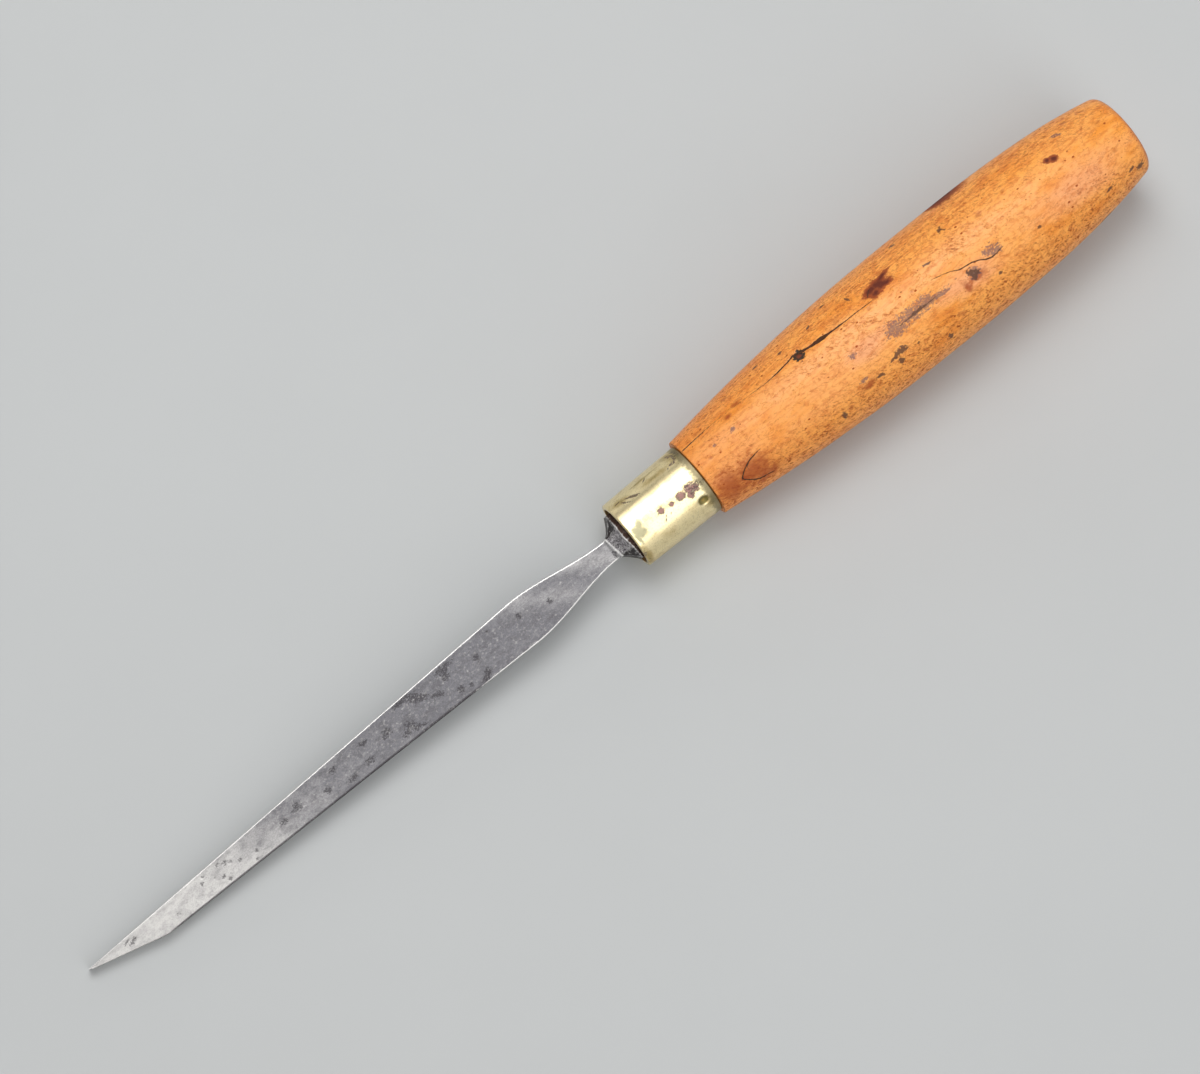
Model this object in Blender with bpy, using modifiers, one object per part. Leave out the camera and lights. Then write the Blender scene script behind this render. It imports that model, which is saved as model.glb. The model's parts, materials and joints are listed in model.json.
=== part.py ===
"""Flat carving chisel: a forged steel blade, a brass ferrule and a turned boxwood handle.

The pieces are modelled in the tool's own frame, in metres:
  X runs along the handle's axis, from the cutting edge to the butt, with zero at the ferrule's mouth,
  Y is the blade's depth, with its flat back towards plus and its ground bevel towards minus,
  Z is the blade's width, square to its two sides.
A parent empty then lays the tool on the bench the way it settles by itself: on the belly of the
handle, on one corner of the cutting edge and on the heel of the bevel.
"""

import math

import bmesh
import bpy
from mathutils import Matrix, Vector

MM = 0.001

# Blade: stations along the tool, measured from the ferrule's mouth towards the cutting edge
EDGE_REACH = 138.9 * MM
HEEL_REACH = 122.2 * MM
HIP_REACH = 27.2 * MM
NECK_REACH = 4.5 * MM
FLARE_REACH = 3.9 * MM
COLLAR_REACH = 1.1 * MM

# Blade: depth of the flat back and of the bevelled face from the handle's axis
EDGE_BACK = 0.5 * MM
HIP_BACK = 4.5 * MM
NECK_BACK = 2.0 * MM
HEEL_FACE = -4.2 * MM
HIP_FACE = -5.6 * MM
NECK_FACE = -2.7 * MM

# Blade: width of the cutting edge, of the waist, and the worn arrises along both
EDGE_WIDTH = 3.2 * MM
HIP_WIDTH = 4.6 * MM
NECK_WIDTH = 4.8 * MM
EDGE_ARRIS = 0.1 * MM
HEEL_ARRIS = 0.3 * MM
HIP_ARRIS = 0.45 * MM
NECK_ARRIS = 0.4 * MM
WAIST_STATIONS = 9

# Honed edge: a short, steeper facet that the oilstone leaves in front of the ground bevel
HONED_LENGTH = 0.9 * MM
HONED_DROP = 0.55 * MM

# Bolster: a square with its corners cut back, so that eight facets flare from the neck
BOLSTER_ACROSS = 11.2 * MM
BOLSTER_FACET = 5.4 * MM
COLLAR_LENGTH = 1.3 * MM
FLARE_HOLLOW = 1.5
FLARE_STATIONS = 4

# Tang: a square spike that the handle is driven on to
TANG_LENGTH = 62.0 * MM
TANG_ROOT = 6.0 * MM
TANG_END = 2.6 * MM
TANG_ARRIS = 0.5 * MM

# Ferrule: a drawn brass tube, a little wider at the handle
FERRULE_LENGTH = 18.8 * MM
FERRULE_FRONT_RADIUS = 7.72 * MM
FERRULE_BACK_RADIUS = 8.05 * MM
FERRULE_BORE_RADIUS = 6.8 * MM
FERRULE_FRONT_RIM = 0.35 * MM
FERRULE_BACK_RIM = 0.2 * MM

# Handle: a barrel with its belly behind the middle, on a spigot that fills the ferrule
BARREL_LENGTH = 111.8 * MM
SHOULDER_RADIUS = 9.1 * MM
SHOULDER_ROUND = 0.25 * MM
BELLY_RADIUS = 13.1 * MM
BELLY_FROM_SHOULDER = 58.6 * MM
FRONT_FULLNESS = 2.0
REAR_FULLNESS = 3.3
BUTT_RADIUS = 9.6 * MM
BUTT_ROUND = 2.2 * MM
BUTT_TURN = math.radians(80)
BUTT_CROWN = 0.5 * MM
BUTT_FLAT_RADIUS = 3.6 * MM
SPIGOT_RECESS = 0.5 * MM

# Fits and facets
SEAT_GAP = 0.3 * MM
TURNED_STEPS = 64
BARREL_STATIONS = 28
ROUND_STEPS = 5
SQUARE_SIDES = 4
HALF_DIAGONAL = math.sqrt(0.5)
SHARP_ANGLE = math.radians(30)
QUARTER = math.pi / 2
WELD_DISTANCE = 0.00001
SETTLING_TURNS = 12
BLANK_OVERRUN = 4.0 * MM

SHOULDER_X = FERRULE_LENGTH + SEAT_GAP
SPIGOT_RADIUS = FERRULE_BORE_RADIUS - SEAT_GAP

STEEL = ((0.23, 0.23, 0.22), 0.42, 1.0)
BRASS = ((0.62, 0.43, 0.15), 0.24, 1.0)
BOXWOOD = ((0.61, 0.27, 0.06), 0.34, 0.0)


def blend(start, end, share):
    return start + (end - start) * share


def ease(share):
    """Share of an S-curve that leaves and arrives level, as a forged waist does."""
    return share * share * (3.0 - 2.0 * share)


def clear_scene():
    for old in list(bpy.data.objects):
        bpy.data.objects.remove(old, do_unlink=True)


def new_collection(name):
    collection = bpy.data.collections.new(name)
    bpy.context.scene.collection.children.link(collection)
    return collection


def new_material(name, finish):
    colour, roughness, metallic = finish
    material = bpy.data.materials.new(name)
    material.use_nodes = True
    shader = material.node_tree.nodes["Principled BSDF"]
    shader.inputs["Base Color"].default_value = (*colour, 1.0)
    shader.inputs["Roughness"].default_value = roughness
    shader.inputs["Metallic"].default_value = metallic
    return material


def new_object(name, bm, collection, material=None):
    mesh = bpy.data.meshes.new(name)
    bm.to_mesh(mesh)
    bm.free()
    if material:
        mesh.materials.append(material)
    obj = bpy.data.objects.new(name, mesh)
    collection.objects.link(obj)
    return obj


def chamfered_section(x, back, face, width, arris):
    """Eight corners of a rectangle with cut corners that lies across the tool at x."""
    side = width / 2
    corners = []
    for turn in (1, -1):
        corners += [(back, turn * (side - arris)), (back - arris, turn * side),
                    (face + arris, turn * side), (face, turn * (side - arris))][::turn]
    return [Vector((x, depth, height)) for depth, height in corners]


def square_section(x, across, arris):
    return chamfered_section(x, across / 2, -across / 2, across, arris)


def edge_blank_section(reach, arris):
    """Section of the unground blade, which tapers evenly from the hip out to the cutting edge."""
    share = (reach - HIP_REACH) / (EDGE_REACH - HIP_REACH)
    face_share = (reach - HIP_REACH) / (HEEL_REACH - HIP_REACH)
    back = blend(HIP_BACK, EDGE_BACK, share)
    face = blend(HIP_FACE, HEEL_FACE, face_share)
    return chamfered_section(-reach, back, face, blend(HIP_WIDTH, EDGE_WIDTH, share), arris)


def waist_sections():
    """Sections from the hip, the deepest place of the blade, down to the neck."""
    sections = []
    for step in range(WAIST_STATIONS + 1):
        along = step / WAIST_STATIONS
        share = ease(along)
        sections.append(chamfered_section(
            -blend(HIP_REACH, NECK_REACH, along), blend(HIP_BACK, NECK_BACK, share),
            blend(HIP_FACE, NECK_FACE, share), blend(HIP_WIDTH, NECK_WIDTH, share),
            blend(HIP_ARRIS, NECK_ARRIS, share)))
    return sections


def flare_sections(neck, collar):
    """Sections of the bolster's flare, which opens slowly at the neck and faster towards the collar."""
    sections = []
    for step in range(FLARE_STATIONS + 1):
        along = step / FLARE_STATIONS
        share = along ** FLARE_HOLLOW
        sections.append([Vector((blend(start.x, end.x, along), blend(start.y, end.y, share),
                                 blend(start.z, end.z, share))) for start, end in zip(neck, collar)])
    return sections


def bolster_sections():
    """Neck, flare, collar and tang: the facets open out, then step back to the square spike."""
    corner_cut = (BOLSTER_ACROSS - BOLSTER_FACET) / 2
    collar_back = COLLAR_LENGTH - COLLAR_REACH
    neck = chamfered_section(-FLARE_REACH, NECK_BACK + NECK_ARRIS / 2, NECK_FACE,
                             NECK_WIDTH + NECK_ARRIS, NECK_ARRIS)
    collar = square_section(-COLLAR_REACH, BOLSTER_ACROSS, corner_cut)
    return flare_sections(neck, collar) + [
        square_section(collar_back, BOLSTER_ACROSS, corner_cut),
        square_section(collar_back, TANG_ROOT, TANG_ARRIS),
        square_section(TANG_LENGTH, TANG_END, TANG_ARRIS),
    ]


def loft(sections):
    """Closed skin through a row of eight-cornered sections."""
    bm = bmesh.new()
    rings = [[bm.verts.new(corner) for corner in section] for section in sections]
    for ring, following in zip(rings, rings[1:]):
        for corner in range(len(ring)):
            after = (corner + 1) % len(ring)
            bm.faces.new((ring[corner], ring[after], following[after], following[corner]))
    bm.faces.new(rings[0])
    bm.faces.new(rings[-1])
    bmesh.ops.recalc_face_normals(bm, faces=bm.faces)
    return bm


def grind(bm, front, rear):
    """Take away what lies outside a plane across the blade, through two points of its side view."""
    run = rear - front
    outward = Vector((run.y, -run.x, 0.0)).normalized()
    everything = bm.verts[:] + bm.edges[:] + bm.faces[:]
    cut = bmesh.ops.bisect_plane(bm, geom=everything, dist=WELD_DISTANCE, plane_co=front, plane_no=outward,
                                 clear_outer=True)
    rim = [item for item in cut["geom_cut"] if isinstance(item, bmesh.types.BMEdge)]
    bmesh.ops.holes_fill(bm, edges=rim)


def make_blade(collection):
    """One forging: blade, waist, eight-sided bolster and tang, with the bevel ground on afterwards."""
    tip = edge_blank_section(EDGE_REACH + BLANK_OVERRUN, EDGE_ARRIS)
    heel_blank = edge_blank_section(HEEL_REACH, HEEL_ARRIS)
    bm = loft([tip, heel_blank] + waist_sections() + bolster_sections())
    edge = Vector((-EDGE_REACH, EDGE_BACK, 0.0))
    honed = edge + Vector((HONED_LENGTH, -HONED_DROP, 0.0))
    heel = Vector((-HEEL_REACH, HEEL_FACE, 0.0))
    grind(bm, honed, heel)
    grind(bm, edge, honed)
    return new_object("blade", bm, collection, new_material("forged_tool_steel", STEEL))


def arc(centre_radius, centre_along, size, start, end):
    """Points of a rounded edge in a turned profile, as radius and distance along the tool."""
    points = []
    for step in range(ROUND_STEPS + 1):
        angle = blend(start, end, step / ROUND_STEPS)
        points.append((centre_radius + size * math.cos(angle), centre_along + size * math.sin(angle)))
    return points


def turn_profile(name, profile, closed, collection, material):
    """Spin a profile of radius and distance along the tool about the tool's axis."""
    bm = bmesh.new()
    points = [bm.verts.new((radius, 0.0, along)) for radius, along in profile]
    for first, second in zip(points, points[1:] + points[:1] if closed else points[1:]):
        bm.edges.new((first, second))
    obj = new_object(name, bm, collection, material)
    obj.rotation_euler = (0.0, QUARTER, 0.0)
    lathe = obj.modifiers.new("lathe", "SCREW")
    lathe.axis = "Z"
    lathe.steps = TURNED_STEPS
    lathe.render_steps = TURNED_STEPS
    lathe.use_merge_vertices = True
    lathe.merge_threshold = WELD_DISTANCE
    lathe.use_smooth_shade = False
    return obj


def make_ferrule(collection):
    """Brass tube with rounded rims, slipped over the spigot up to the handle's shoulder."""
    front_rim = arc(FERRULE_FRONT_RADIUS - FERRULE_FRONT_RIM, FERRULE_FRONT_RIM, FERRULE_FRONT_RIM,
                    0.0, -QUARTER)
    back_rim = arc(FERRULE_BACK_RADIUS - FERRULE_BACK_RIM, FERRULE_LENGTH - FERRULE_BACK_RIM,
                   FERRULE_BACK_RIM, QUARTER, 0.0)
    bore = [(FERRULE_BORE_RADIUS, 0.0), (FERRULE_BORE_RADIUS, FERRULE_LENGTH)]
    return turn_profile("ferrule", back_rim + front_rim + bore, True, collection,
                        new_material("drawn_brass", BRASS))


def barrel_radius(from_shoulder):
    """Radius of the barrel: full at the belly, falling off faster and faster towards both ends."""
    if from_shoulder < BELLY_FROM_SHOULDER:
        share = 1.0 - from_shoulder / BELLY_FROM_SHOULDER
        return BELLY_RADIUS - (BELLY_RADIUS - SHOULDER_RADIUS) * share ** FRONT_FULLNESS
    share = (from_shoulder - BELLY_FROM_SHOULDER) / (BARREL_LENGTH - BELLY_FROM_SHOULDER)
    return BELLY_RADIUS - (BELLY_RADIUS - BUTT_RADIUS) * share ** REAR_FULLNESS


def handle_profile():
    """Profile of the handle from its butt, over the barrel and the shoulder, to the spigot's end."""
    lean = math.atan(REAR_FULLNESS * (BELLY_RADIUS - BUTT_RADIUS) / (BARREL_LENGTH - BELLY_FROM_SHOULDER))
    rounded = arc(BUTT_RADIUS - BUTT_ROUND * math.cos(lean),
                  SHOULDER_X + BARREL_LENGTH - BUTT_ROUND * math.sin(lean), BUTT_ROUND, BUTT_TURN, lean)
    butt_x = rounded[0][1] + BUTT_CROWN
    butt = [(0.0, butt_x), (BUTT_FLAT_RADIUS, butt_x)] + rounded
    barrel = []
    for step in range(1, BARREL_STATIONS):
        from_shoulder = blend(BARREL_LENGTH, SHOULDER_ROUND, step / BARREL_STATIONS)
        barrel.append((barrel_radius(from_shoulder), SHOULDER_X + from_shoulder))
    shoulder = arc(SHOULDER_RADIUS - SHOULDER_ROUND, SHOULDER_X + SHOULDER_ROUND, SHOULDER_ROUND,
                   0.0, -QUARTER)
    spigot = [(SPIGOT_RADIUS, SHOULDER_X), (SPIGOT_RADIUS, SPIGOT_RECESS), (0.0, SPIGOT_RECESS)]
    return butt + barrel + shoulder + spigot


def tang_hole_cutter(collection):
    """Tapered square spike, a seat gap larger than the tang all round."""
    start = SPIGOT_RECESS - COLLAR_REACH
    end = TANG_LENGTH + SEAT_GAP
    tang_start = COLLAR_LENGTH - COLLAR_REACH
    taper = (TANG_END - TANG_ROOT) / (TANG_LENGTH - tang_start)
    start_across = TANG_ROOT + taper * (start - tang_start) + 2 * SEAT_GAP
    end_across = TANG_ROOT + taper * (end - tang_start) + 2 * SEAT_GAP
    bm = bmesh.new()
    bmesh.ops.create_cone(bm, cap_ends=True, segments=SQUARE_SIDES, depth=end - start,
                          radius1=HALF_DIAGONAL * start_across, radius2=HALF_DIAGONAL * end_across)
    bmesh.ops.rotate(bm, verts=bm.verts, matrix=Matrix.Rotation(QUARTER / 2, 3, "Z"))
    bmesh.ops.translate(bm, verts=bm.verts, vec=(0.0, 0.0, (start + end) / 2))
    cutter = new_object("tang_hole_cutter", bm, collection)
    cutter.rotation_euler = (0.0, QUARTER, 0.0)
    cutter.hide_render = True
    cutter.display_type = "WIRE"
    return cutter


def make_handle(collection, cutter):
    """Turned boxwood barrel and spigot, bored for the tang."""
    material = new_material("oiled_boxwood", BOXWOOD)
    handle = turn_profile("handle", handle_profile(), False, collection, material)
    hole = handle.modifiers.new("tang_hole", "BOOLEAN")
    hole.operation = "DIFFERENCE"
    hole.solver = "EXACT"
    hole.object = cutter
    return handle


def tool_points(piece, depsgraph):
    evaluated = piece.evaluated_get(depsgraph)
    return [evaluated.matrix_world @ vertex.co for vertex in evaluated.data.vertices]


def bench_turn(blade_points, handle_points):
    """Rotation that lays the tool down, and the depth of the bench below the tool's origin."""
    mid_bevel = -(EDGE_REACH + HEEL_REACH) / 2
    edge_points = [point for point in blade_points if point.x < mid_bevel]
    heel_points = [point for point in blade_points if mid_bevel < point.x < -HIP_REACH]
    up = Vector((0.0, 0.0, 1.0))
    for _ in range(SETTLING_TURNS):
        edge, heel, belly = (min(group, key=up.dot) for group in (edge_points, heel_points, handle_points))
        up = (belly - edge).cross(edge - heel).normalized()
        up = up if up.z > 0.0 else -up
    ahead = Vector((1.0, 0.0, 0.0))
    ahead = (ahead - up * ahead.dot(up)).normalized()
    return Matrix((ahead, up.cross(ahead), up)), up.dot(edge)


def lay_on_bench(stand, blade, handle):
    """Set the empty so that the tool rests on the bench with the middle of its box over the origin."""
    depsgraph = bpy.context.evaluated_depsgraph_get()
    blade_points = tool_points(blade, depsgraph)
    handle_points = tool_points(handle, depsgraph)
    turn, bench = bench_turn(blade_points, handle_points)
    laid = [turn @ point for point in blade_points + handle_points]
    middle = [(min(p[axis] for p in laid) + max(p[axis] for p in laid)) / 2 for axis in range(2)]
    stand.matrix_world = Matrix.Translation((-middle[0], -middle[1], -bench)) @ turn.to_4x4()


def shade(piece):
    """Fix the piece's shape, smooth its curved surfaces and keep its arrises crisp."""
    depsgraph = bpy.context.evaluated_depsgraph_get()
    piece.data = bpy.data.meshes.new_from_object(piece.evaluated_get(depsgraph))
    piece.modifiers.clear()
    piece.data.shade_smooth()
    piece.data.set_sharp_from_angle(angle=SHARP_ANGLE)


def main():
    clear_scene()
    pieces = new_collection("flat_carving_chisel")
    cutters = new_collection("cutters")
    stand = bpy.data.objects.new("bench_pose", None)
    pieces.objects.link(stand)
    blade = make_blade(pieces)
    ferrule = make_ferrule(pieces)
    cutter = tang_hole_cutter(cutters)
    handle = make_handle(pieces, cutter)
    lay_on_bench(stand, blade, handle)
    for piece in (blade, ferrule, handle):
        shade(piece)
        piece.parent = stand
    cutter.parent = stand


main()
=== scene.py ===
"""Flat carving chisel: the looks of its blade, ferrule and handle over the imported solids, and a studio.

Each piece is one skin of points in the tool's own frame, in millimetres until the mesh is made:
  X runs along the handle's axis, from the cutting edge to the butt, with zero at the ferrule's mouth,
  Y is the blade's depth, with its flat back towards plus and its ground bevel towards minus,
  Z is the blade's width, plus on the side that faces up as the tool lies.
A place on a round piece is given by millimetres along X and degrees from plus Z towards plus Y.
"""

import json
import math
from types import SimpleNamespace

import bpy
import numpy as np
from bpy.props import FloatProperty, FloatVectorProperty, PointerProperty
from mathutils import Matrix, Vector, noise


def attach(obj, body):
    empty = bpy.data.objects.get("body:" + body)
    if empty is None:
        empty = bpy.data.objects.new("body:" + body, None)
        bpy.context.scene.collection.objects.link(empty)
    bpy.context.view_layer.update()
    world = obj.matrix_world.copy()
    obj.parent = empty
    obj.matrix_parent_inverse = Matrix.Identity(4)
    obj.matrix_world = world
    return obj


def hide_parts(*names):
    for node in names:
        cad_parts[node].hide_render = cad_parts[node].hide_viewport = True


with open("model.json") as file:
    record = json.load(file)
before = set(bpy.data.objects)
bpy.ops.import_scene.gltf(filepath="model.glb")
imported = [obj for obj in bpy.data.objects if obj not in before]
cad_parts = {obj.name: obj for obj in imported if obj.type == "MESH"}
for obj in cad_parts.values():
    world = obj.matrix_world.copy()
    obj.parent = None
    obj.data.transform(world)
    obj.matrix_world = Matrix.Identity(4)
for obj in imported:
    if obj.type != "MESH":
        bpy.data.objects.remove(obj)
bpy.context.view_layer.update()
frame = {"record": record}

bl_info = {
    "name": "Flat Carving Chisel",
    "version": (1, 0, 0),
    "blender": (4, 5, 0),
    "location": "View3D > Sidebar > Chisel",
    "description": "Builds the blade, ferrule and handle of an old flat carving chisel, and a studio",
    "category": "Add Mesh",
}

MM = 0.001
BODY = "root"
QUARTER = math.pi / 2
SHARP_ANGLE = math.radians(38)

# Sockets of Blender's colour mix node
FACTOR, UNDER, OVER, MIXED = 0, 6, 7, 2

# Spacing of the skins' points, in millimetres along the tool and round it, or in points
BLADE_STEP = 0.33
SIDE_POINTS = 28
EDGE_POINTS = 8
ARRIS_POINTS = 5
SECTION_RUNS = (EDGE_POINTS, SIDE_POINTS) * 2
FERRULE_STEP = 0.24
FERRULE_COLUMNS = 208
RIM_POINTS = 8
BARREL_STEP = 0.3
UPPER_COLUMNS = 184
UNDER_COLUMNS = 36
UPPER_DEGREES = 106.0

# Checks in the wood: points of (mm along, degrees round, half width in mm). The first kind runs along the
# handle, the second round it.
CHECKS_ALONG = (
    ((19.2, 42.0, 0.12), (24.0, 41.2, 0.09), (27.0, 40.2, 0.04), (33.0, 36.5, 0.0), (40.8, 31.8, 0.07),
     (44.0, 32.2, 0.15), (46.8, 33.4, 0.17), (48.4, 35.2, 0.22), (49.6, 34.0, 0.28), (50.6, 32.0, 0.34),
     (51.8, 30.6, 0.24), (53.2, 29.6, 0.38), (55.4, 28.5, 0.52), (56.6, 28.0, 0.30), (58.0, 27.3, 0.19),
     (62.0, 26.3, 0.11), (68.1, 24.9, 0.05)),
    ((79.5, 5.1, 0.04), (82.2, 2.4, 0.05), (83.8, 0.1, 0.07), (85.5, -3.8, 0.12), (86.7, -4.7, 0.12),
     (88.4, -5.6, 0.15), (90.0, -8.3, 0.15), (91.1, -11.6, 0.18), (92.5, -13.8, 0.16), (93.8, -13.3, 0.10),
     (95.8, -12.0, 0.04)),
    ((26.9, -50.0, 0.16), (28.1, -53.4, 0.18), (29.8, -55.2, 0.16), (31.6, -56.2, 0.07)),
    ((27.2, -25.4, 0.14), (28.2, -22.9, 0.15), (30.3, -20.0, 0.10), (31.4, -19.4, 0.04)),
)
CHECKS_ROUND = (
    ((28.1, -53.4, 0.20), (26.3, -46.2, 0.20), (25.2, -40.0, 0.18), (25.0, -37.8, 0.16),
     (25.3, -34.5, 0.18), (26.2, -29.1, 0.20), (28.2, -22.9, 0.18)),
    ((67.5, 29.4, 0.08), (68.2, 33.0, 0.12), (69.2, 37.0, 0.09)),
    ((114.2, -36.0, 0.06), (114.5, -40.0, 0.13), (114.4, -44.0, 0.07)),
)

# How checks are cut, in mm: how far from one its field is kept, how fast it closes past its ends, how steep
# its sides are and how deep it gets, how ragged and how soft its edge looks, and how far in its dirt starts
CHECK_REACH = 1.5
CHECK_CLOSES = 0.8
CHECK_STEEPNESS = 1.4
CHECK_DEPTH = 0.5
CHECK_RAGGED = 0.3
CHECK_SOFT = 0.1
CHECK_DIRT = 0.1

# Marks in the wood and on the brass, each with its place in mm along and degrees round, its half length and
# half width in mm, and its tilt in degrees
KNOT = ((49.4, 30.9, 1.45, 1.5, 0.0),)
BURNS = (
    (69.0, 34.0, 2.6, 1.5, 12.0), (72.6, 38.4, 3.2, 0.85, 16.0), (72.2, 31.4, 2.9, 1.15, -10.0),
    (69.6, 29.0, 1.9, 1.2, 20.0), (71.0, 34.0, 2.8, 2.2, 0.0), (94.6, 83.0, 6.4, 4.8, 0.0),
    (92.6, 82.0, 4.0, 4.2, 0.0), (114.1, 25.4, 1.05, 0.95, -30.0), (115.4, 22.7, 1.35, 1.15, -15.0),
)
SMUDGES = (
    (68.2, -8.6, 3.2, 2.3, 0.0), (72.0, -7.6, 3.0, 1.9, 0.0), (75.6, -7.0, 2.8, 1.9, 0.0),
    (74.6, -8.2, 7.5, 0.7, 0.0), (79.4, -10.4, 2.6, 0.45, -4.0), (93.6, -8.6, 1.9, 1.5, -10.0),
    (91.8, -6.2, 0.8, 0.7, 0.0), (57.5, -3.8, 0.9, 0.8, 0.0), (119.3, 44.5, 1.5, 0.6, -20.0),
    (29.5, 17.0, 1.0, 0.5, 25.0), (24.6, 17.0, 0.6, 0.4, 0.0), (56.5, -29.0, 1.3, 0.6, 0.0),
    (87.6, -14.4, 1.6, 1.5, 0.0),
)
BRUISES = (
    (87.0, -13.4, 0.9, 1.2, 20.0), (88.0, -15.0, 0.9, 0.7, 0.0), (87.2, -17.0, 0.45, 0.9, 0.0),
    (66.2, -28.0, 1.6, 0.9, 0.0), (74.0, -9.2, 6.5, 0.18, 0.0), (73.6, -8.8, 2.2, 0.4, 0.0),
    (64.4, -29.6, 1.5, 0.5, 15.0), (60.1, -36.2, 1.3, 0.5, -15.0), (65.1, -37.0, 0.8, 0.7, -40.0),
    (49.4, -48.6, 0.6, 1.3, 0.0), (76.5, -51.1, 0.6, 1.0, 0.0), (81.3, 18.7, 1.0, 0.35, -10.0),
    (87.9, 38.1, 0.9, 0.45, 40.0), (88.2, 37.0, 1.0, 0.35, -40.0), (118.3, -82.7, 2.4, 0.8, 0.0),
    (129.6, -51.0, 1.1, 0.9, 0.0), (60.0, 61.0, 0.8, 0.4, 0.0), (47.0, 49.0, 0.6, 0.4, 0.0),
    (54.8, 50.0, 0.7, 0.3, 30.0), (104.0, -20.0, 0.5, 0.4, 0.0), (127.4, -43.0, 0.9, 0.4, 0.0),
    (121.0, -41.0, 1.2, 0.3, 10.0), (79.0, 63.0, 0.8, 0.4, 0.0), (64.5, 43.0, 0.35, 0.9, 20.0),
    (41.5, 60.0, 0.9, 0.3, 0.0), (92.0, -30.5, 0.6, 0.4, 0.0), (70.0, -33.0, 0.4, 0.3, 0.0),
)
# Pale patches near the handle's top: painted sheen
SHEEN_PALED = ((115.0, -11.0, 19.0, 6.0, 0.0), (86.0, -15.0, 11.0, 4.4, 0.0), (61.0, -6.0, 9.0, 3.4, 0.0))
BROWNED = (
    (22.2, -38.0, 5.2, 6.4, 0.0), (27.6, -37.0, 7.0, 5.4, 0.0), (30.0, -53.0, 5.0, 2.4, 15.0),
    (33.4, 38.0, 1.6, 0.9, -4.0), (30.5, 33.0, 1.4, 0.9, 0.0), (57.0, -36.5, 3.2, 1.3, 10.0),
    (88.0, -18.0, 3.0, 1.3, 0.0), (84.8, -21.0, 1.2, 2.0, 20.0),
)
COPPERED = ((8.0, -4.8, 1.05, 0.95, 10.0), (10.5, -7.0, 0.7, 0.7, 0.0), (13.0, -5.6, 1.35, 1.1, 0.0),
            (14.7, -14.0, 0.95, 1.0, 0.0), (16.4, -9.6, 1.0, 0.8, 0.0), (15.4, -6.0, 1.5, 1.5, 0.0))
STAINED = ((15.8, -6.4, 1.9, 1.3, -20.0), (14.9, -1.2, 0.8, 1.1, 30.0), (17.6, -6.6, 1.5, 0.9, 0.0),
           (15.8, 42.6, 1.0, 0.6, 0.0), (14.6, 40.0, 0.6, 0.3, 30.0), (0.3, -44.4, 0.5, 0.7, 0.0),
           (8.0, -18.0, 0.85, 0.2, 55.0), (9.3, -17.0, 0.6, 0.16, 55.0), (7.2, 10.0, 0.25, 0.25, 0.0),
           (15.6, -11.5, 1.1, 0.6, 20.0), (17.0, 52.0, 0.5, 2.0, 0.0), (18.0, 60.0, 0.45, 2.2, 10.0),
           (16.2, 63.0, 0.5, 1.2, 20.0))
DULLED = ((1.6, -7.0, 1.2, 1.5, 20.0), (2.7, 1.0, 0.9, 1.4, -25.0), (2.2, -12.0, 1.6, 1.3, 10.0),
          (1.0, -17.0, 0.5, 1.8, 10.0))
TARNISHED = ((17.2, 56.0, 3.0, 4.6, 0.0), (17.4, 50.0, 2.2, 3.4, 0.0), (17.4, -43.0, 1.9, 2.6, 0.0),
             (3.0, 50.0, 4.0, 1.4, 0.0), (9.0, 60.0, 5.0, 0.5, 0.0), (0.6, -55.0, 1.2, 5.0, 0.0),
             (11.0, 45.0, 5.0, 1.2, 0.0))
SCRATCHED = ((5.1, 44.5, 2.1, 0.26, -34.0), (6.2, 42.2, 1.5, 0.22, -34.0), (3.4, 45.5, 1.2, 0.2, -40.0),
             (2.2, 52.0, 1.0, 0.16, 10.0), (9.5, 55.0, 0.8, 0.2, 40.0), (4.0, 40.0, 1.9, 0.15, -30.0))
PUNCH_MARK = ((16.2, -33.5, 1.45, 1.1, 0.0),)

# The fields of marks that the materials of the handle and the ferrule read
HANDLE_MARKS = {"knot": KNOT, "burnt": BURNS, "smudged": SMUDGES, "bruised": BRUISES, "browned": BROWNED,
                "sheen_paled": SHEEN_PALED}
FERRULE_MARKS = {"coppered": COPPERED, "stained": STAINED, "dulled": DULLED, "tarnished": TARNISHED,
                 "scratched": SCRATCHED, "punched": PUNCH_MARK}

# What a mark's field is far outside it, and where there is nothing to mark
FAR_OUTSIDE = -3.0
UNMARKED = -1.0

# How steep the sides of most marks and of the brass's spots are: 2 is full depth half way in, 3 a third
MARK_STEEPNESS = 2.0
SPOT_STEEPNESS = 3.0

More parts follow.
